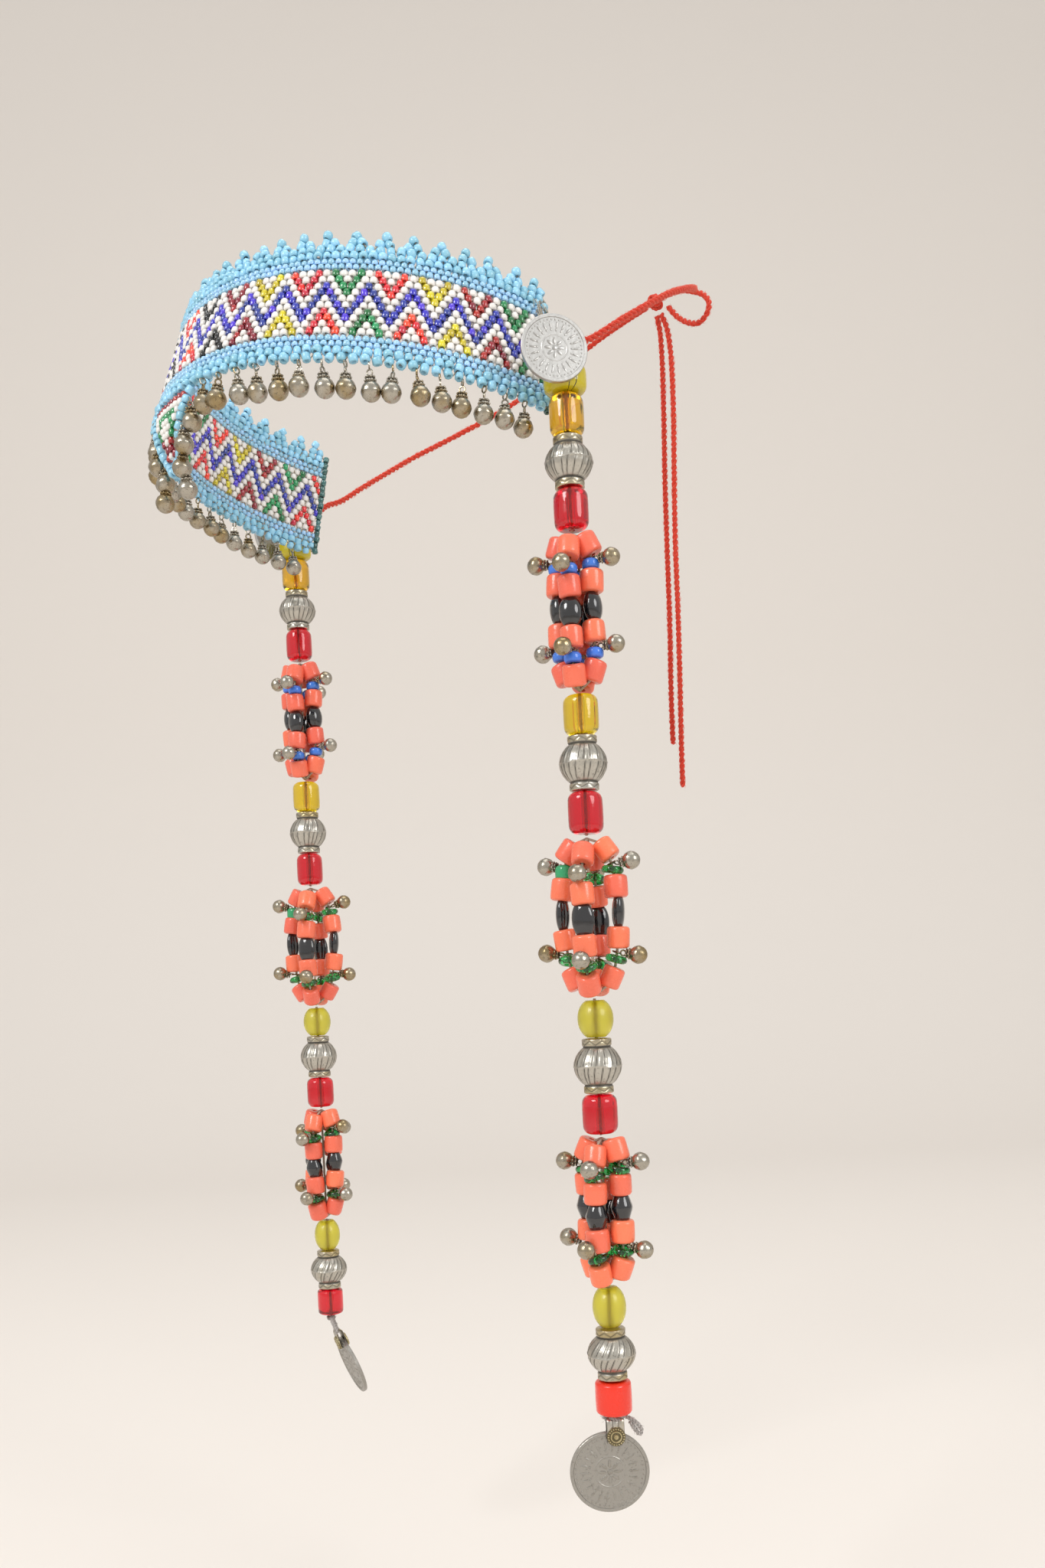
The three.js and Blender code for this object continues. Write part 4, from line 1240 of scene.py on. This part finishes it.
def cluster(side_name, side, number):
    spread, first, small, middle_kind = CLUSTERS[number]
    node_name = f"coral_cluster_{number}_{side_name}"
    body = f"cluster_{number}_{side_name}"
    low, high = (Vector(corner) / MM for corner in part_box(node_name))
    length = high.z - low.z
    core = on_strand(side, high.z)
    corals, jets, smalls, bells = (bmesh.new() for _ in range(4))
    jade = bmesh.new()
    lines = [[core - Vector((0, 0, length * i / 6)) for i in range(7)]]
    turned_by = chance.uniform(-0.25, 0.25)
    for loop in range(4):
        around = radians(first + 90 * loop) + turned_by
        out_way = Vector((cos(around), sin(around), 0))
        stagger = 1.1 if loop % 2 else -1.1

        def on_loop(share):
            stand = INNER + (spread - INNER) * sin(pi * share)
            pinch = max(0, abs(share - 0.5) - 0.36) * 16
            drop = length * share + stagger * sin(pi * share) ** 0.3
            return core + out_way * (stand - pinch) - Vector((0, 0, drop))

        lines.append(smooth_line(
            [core - Vector((0, 0, 0.2))] + [on_loop(0.06 + 0.88 * i / 12) for i in range(13)]
            + [core - Vector((0, 0, length - 0.2))], 1.0
        ))
        for share in SHARES:
            ahead = on_loop(share - 0.03) - on_loop(share + 0.03)
            place = aimed(on_loop(share), ahead, chance.uniform(0, 6)) @ jittered(0.09)
            size = chance.uniform(0.95, 1.03)
            copy_in(corals, CORAL_BEAD, place @ sized(size, size * chance.uniform(0.96, 1), size),
                    chance.random())
        place = aimed(on_loop(0.5), (0, 0, 1), around) @ jittered(0.08)
        if middle_kind == "cone":
            copy_in(jets, JET_CONE, place, chance.random())
        else:
            thin = 0.8 if middle_kind == "flat" else 0.56
            tall = 0.98 if middle_kind == "flat" else 1.12
            twist = Matrix.Rotation(chance.uniform(-0.4, 0.4), 4, "Z")
            copy_in(jets, JET_OVAL, place @ twist @ sized(thin, 1.0, tall), chance.random())
        for share in (0.22, 0.78):
            tip = Matrix.Rotation(chance.uniform(0.1, 0.34), 4, "Y" if chance.random() < 0.5 else "X")
            place = Matrix.Translation(on_loop(share + 0.012)) @ Matrix.Rotation(around, 4, "Z")
            if small == "blue":
                copy_in(smalls, BLUE_BEAD, place @ jittered(0.1), chance.random())
            elif loop == 2 and share < 0.5 and number == "2":
                copy_in(jade, ROUND_GREEN, place @ jittered(0.1), chance.random())
            else:
                copy_in(smalls, GREEN_DISC, place @ tip, chance.random())
            ring_at = on_loop(share - 0.028)
            out = (out_way + Vector([chance.uniform(-0.3, 0.3) for _ in range(3)])).normalized()
            copy_in(bells, BELL_RING, Matrix.Translation(ring_at) @ jittered(0.35) @ sized(1.3, 1.3, 1),
                    chance.random())
            copy_in(bells, BELL, aimed(ring_at + out * 0.5, -out, chance.uniform(0, 6))
                    @ Matrix.Scale(0.9, 4), chance.random())
    finish_piece(f"{node_name}_corals", corals, CORAL, body, "coral", node_name, sharp=60)
    finish_piece(f"{node_name}_jet", jets, JET, body, "coral", sharp=60)
    finish_piece(f"{node_name}_small", smalls, BLUE if small == "blue" else BOTTLE_GREEN, body, "coral")
    if jade.verts:
        finish_piece(f"{node_name}_jade", jade, JADE, body, "coral")
    else:
        jade.free()
    finish_piece(f"{node_name}_bells", bells, BELL_METAL, body, "silver", sharp=50)
    finish_piece(f"{node_name}_thread", strands("loops", lines, 0.42, 6), COTTON, body, "white_glass")


for side_name, side in SIDES:
    for number in CLUSTERS:
        cluster(side_name, side, number)


# ---- pendants -------------------------------------------------------------------------------
STRAP_WIDE = 5.2
FOLD_TO_FOOT = 7.4  # the strap's fold down to its two feet
BAIL_TOP = -316.6
# The way each coin faces, the strap's fold below the top of its loop, and its foot's set back.
PENDANTS = {"left": (57, 0, 0), "right": (12, 5.8, 20)}


def bail_strap():
    """A ridged strip folded over the thread loop, in front of and behind the coin's top."""
    whole = bmesh.new()
    half = [(0, -0.1), (0.8, -0.4), (1.25, -1.1), (1.35, -2.4), (1.3, -4.8), (1.3, -FOLD_TO_FOOT)]
    path = [(-y, z) for y, z in reversed(half)] + half[1:]
    points = [whole.verts.new((-STRAP_WIDE / 2, y, z)) for y, z in path]
    lines = [whole.edges.new(pair) for pair in zip(points, points[1:])]
    steps = 24
    edge = lines
    for i in range(1, steps + 1):
        grown = bmesh.ops.extrude_edge_only(whole, edges=edge)["geom"]
        fresh = [part for part in grown if isinstance(part, bmesh.types.BMVert)]
        edge = [part for part in grown if isinstance(part, bmesh.types.BMEdge)]
        bmesh.ops.translate(whole, verts=fresh, vec=(STRAP_WIDE / steps, 0, 0))
    for vert in whole.verts:
        share = (vert.co.x + STRAP_WIDE / 2) / STRAP_WIDE
        swell = 0.22 * abs(sin(pi * 3 * share))
        flat = Vector((0, vert.co.y, 0 if vert.co.z < -1.6 else vert.co.z + 1.6)).normalized()
        vert.co += flat * swell
    bmesh.ops.solidify(whole, geom=whole.faces[:], thickness=0.4)
    bmesh.ops.recalc_face_normals(whole, faces=whole.faces)
    return pattern("strap", whole, lambda at: 0.8 * (abs(sin(
        pi * 3 * (at.x + STRAP_WIDE / 2) / STRAP_WIDE)) < 0.3))


def boss():
    """A round boss of rings and grains that holds the strap to the coin."""
    outline = [(0, 0.75), (0.7, 0.7), (0.95, 0.35), (1.25, 0.3), (1.5, 0.6), (1.85, 0.55), (2.05, 0.25),
               (2.5, 0.25), (2.95, 0.2), (3.05, 0), (3.0, -0.3), (0, -0.3)]
    whole = spun(outline, 36)
    for i in range(20):
        turn = 2 * pi * i / 20
        spot = Matrix.Translation((2.5 * cos(turn), 2.5 * sin(turn), 0.3))
        bmesh.ops.create_icosphere(whole, subdivisions=1, radius=0.34, matrix=spot)
    return pattern("boss", whole, lambda at: 0.7 * (0.2 < at.z < 0.4))


STRAP = bail_strap()
BOSS = boss()


def pendant(side_name, side):
    body = f"pendant_{side_name}"
    turn, fold, tilt = PENDANTS[side_name]
    node_name = f"pendant_coin_{side_name}"
    tipped = Matrix.Rotation(side * radians(turn), 4, "Z") @ Matrix.Rotation(radians(tilt), 4, "X")
    hung = Matrix.Translation(on_strand(side, BAIL_TOP)) @ tipped
    whole = coin(PENDANT_COIN, 1.1)
    upright = Matrix.Translation(middle_of(node_name)) @ tipped @ Matrix.Rotation(pi / 2, 4, "X")
    bmesh.ops.transform(whole, matrix=upright, verts=whole.verts)
    finish_piece(f"{node_name}_struck", whole, DULL_COIN_METAL, body, "silver", node_name, sharp=22)
    strap = bmesh.new()
    copy_in(strap, STRAP, hung @ Matrix.Translation((0, 0, -fold)))
    finish_piece(f"pendant_strap_{side_name}", strap, MELON_METAL, body, "silver",
                 f"pendant_bail_{side_name}", sharp=45)
    bosses = bmesh.new()
    for face in (1, -1):
        spot = hung @ Matrix.Translation((0, -face * 1.75, 2.0 - FOLD_TO_FOOT - fold))
        copy_in(bosses, BOSS, spot @ Matrix.Rotation(face * pi / 2, 4, "X") @ Matrix.Scale(0.92, 4))
    finish_piece(f"pendant_boss_{side_name}", bosses, BRASSY, body, "silver", sharp=45)
    top, bottom = 1.3, -fold - 1.1
    ring = [
        (1.5 * sin(a), 0, (top + bottom) / 2 + (top - bottom) / 2 * cos(a))
        for a in (2 * pi * i / 16 for i in range(17))
    ]
    tail = [(1.2, -0.4, 0.3), (3.5, -0.9, 0.0), (6.0, -1.6, -1.4), (7.6, -1.8, -3.7), (6.9, -1.9, -5.0),
            (5.6, -1.6, -3.3), (4.4, -1.2, -1.3)]
    back = [(-1.2, 0.3, 0.4), (-2.9, 0.2, -0.3), (-3.2, -0.4, 1.6), (-2.7, -0.8, 3.0)]
    knot = [(1.3 * cos(a), 1.1 * sin(a) - 0.2, 0.2 * sin(2 * a) - 0.2 * a + 0.6)
            for a in (pi * i / 5 for i in range(16))]
    thread, fluff = [], []
    for route in (ring, tail, back, knot):
        line = smooth_line([hung @ Vector(point) for point in route], 0.4)
        thread += plies(line, 0.34, 2.0, 2)
        fluff += hairs_round(line, 5, 0.9, 0.4)
    whole = bmesh.new()
    whole.from_mesh(strands("loop", thread, 0.36, 6))
    whole.from_mesh(strands("fluff", fluff, 0.04))
    finish_piece(f"thread_loop_{side_name}", whole, GREY_THREAD, f"strand_end_{side_name}",
                 "white_glass")


for side_name, side in SIDES:
    pendant(side_name, side)


# ---- floor, backdrop and light --------------------------------------------------------------
def studio():
    """A pale sweep of paper under and behind the object."""
    scene = bpy.context.scene
    sweep = bmesh.new()
    line = [(6.0, -0.42), (-1.2, -0.42)]
    line += [
        (-1.2 - sin(radians(a)) * 0.8, -0.42 + (1 - cos(radians(a))) * 0.8) for a in range(10, 91, 10)
    ]
    line += [(-2.0, 5.0)]
    points = [sweep.verts.new((-7, y, z)) for y, z in line]
    edges = [sweep.edges.new(pair) for pair in zip(points, points[1:])]
    grown = bmesh.ops.extrude_edge_only(sweep, edges=edges)["geom"]
    fresh = [part for part in grown if isinstance(part, bmesh.types.BMVert)]
    bmesh.ops.translate(sweep, verts=fresh, vec=(14, 0, 0))
    bmesh.ops.recalc_face_normals(sweep, faces=sweep.faces)
    mesh = bpy.data.meshes.new("backdrop")
    sweep.to_mesh(mesh)
    sweep.free()
    mesh.transform(Matrix.Rotation(CAMERA_YAW + pi, 4, "Z"))
    mesh.shade_smooth()
    paper = bpy.data.materials.new("pale_paper")
    paper.use_nodes = True
    paper.node_tree.nodes["Principled BSDF"].inputs["Base Color"].default_value = (0.80, 0.755, 0.71, 1)
    paper.node_tree.nodes["Principled BSDF"].inputs["Roughness"].default_value = 0.95
    mesh.materials.append(paper)
    backdrop = bpy.data.objects.new("backdrop", mesh)
    scene.collection.objects.link(backdrop)
    world = bpy.data.worlds.new("studio")
    world.use_nodes = True
    world.node_tree.nodes["Background"].inputs["Color"].default_value = (1.0, 0.985, 0.96, 1)
    world.node_tree.nodes["Background"].inputs["Strength"].default_value = 0.75
    scene.world = world
    scene.view_settings.view_transform = "Standard"


def soft_light(name, place, target, size, power, colour=(1, 1, 1)):
    lamp = bpy.data.lights.new(name, "AREA")
    lamp.shape = "DISK"
    lamp.size = size
    lamp.energy = power
    lamp.color = colour
    holder = bpy.data.objects.new(name, lamp)
    aim = (Vector(target) - Vector(place)).to_track_quat("-Z", "Y")
    holder.matrix_world = Matrix.Translation(place) @ aim.to_matrix().to_4x4()
    bpy.context.scene.collection.objects.link(holder)


studio()
soft_light("key", (0.2, -1.5, 0.9), (0, 0, -0.1), 0.7, 14)
soft_light("fill", (1.5, 0.3, 0.5), (0, 0, -0.1), 0.8, 8)
soft_light("top", (0.1, 0.1, 1.6), (0, 0, -0.1), 1.2, 7)
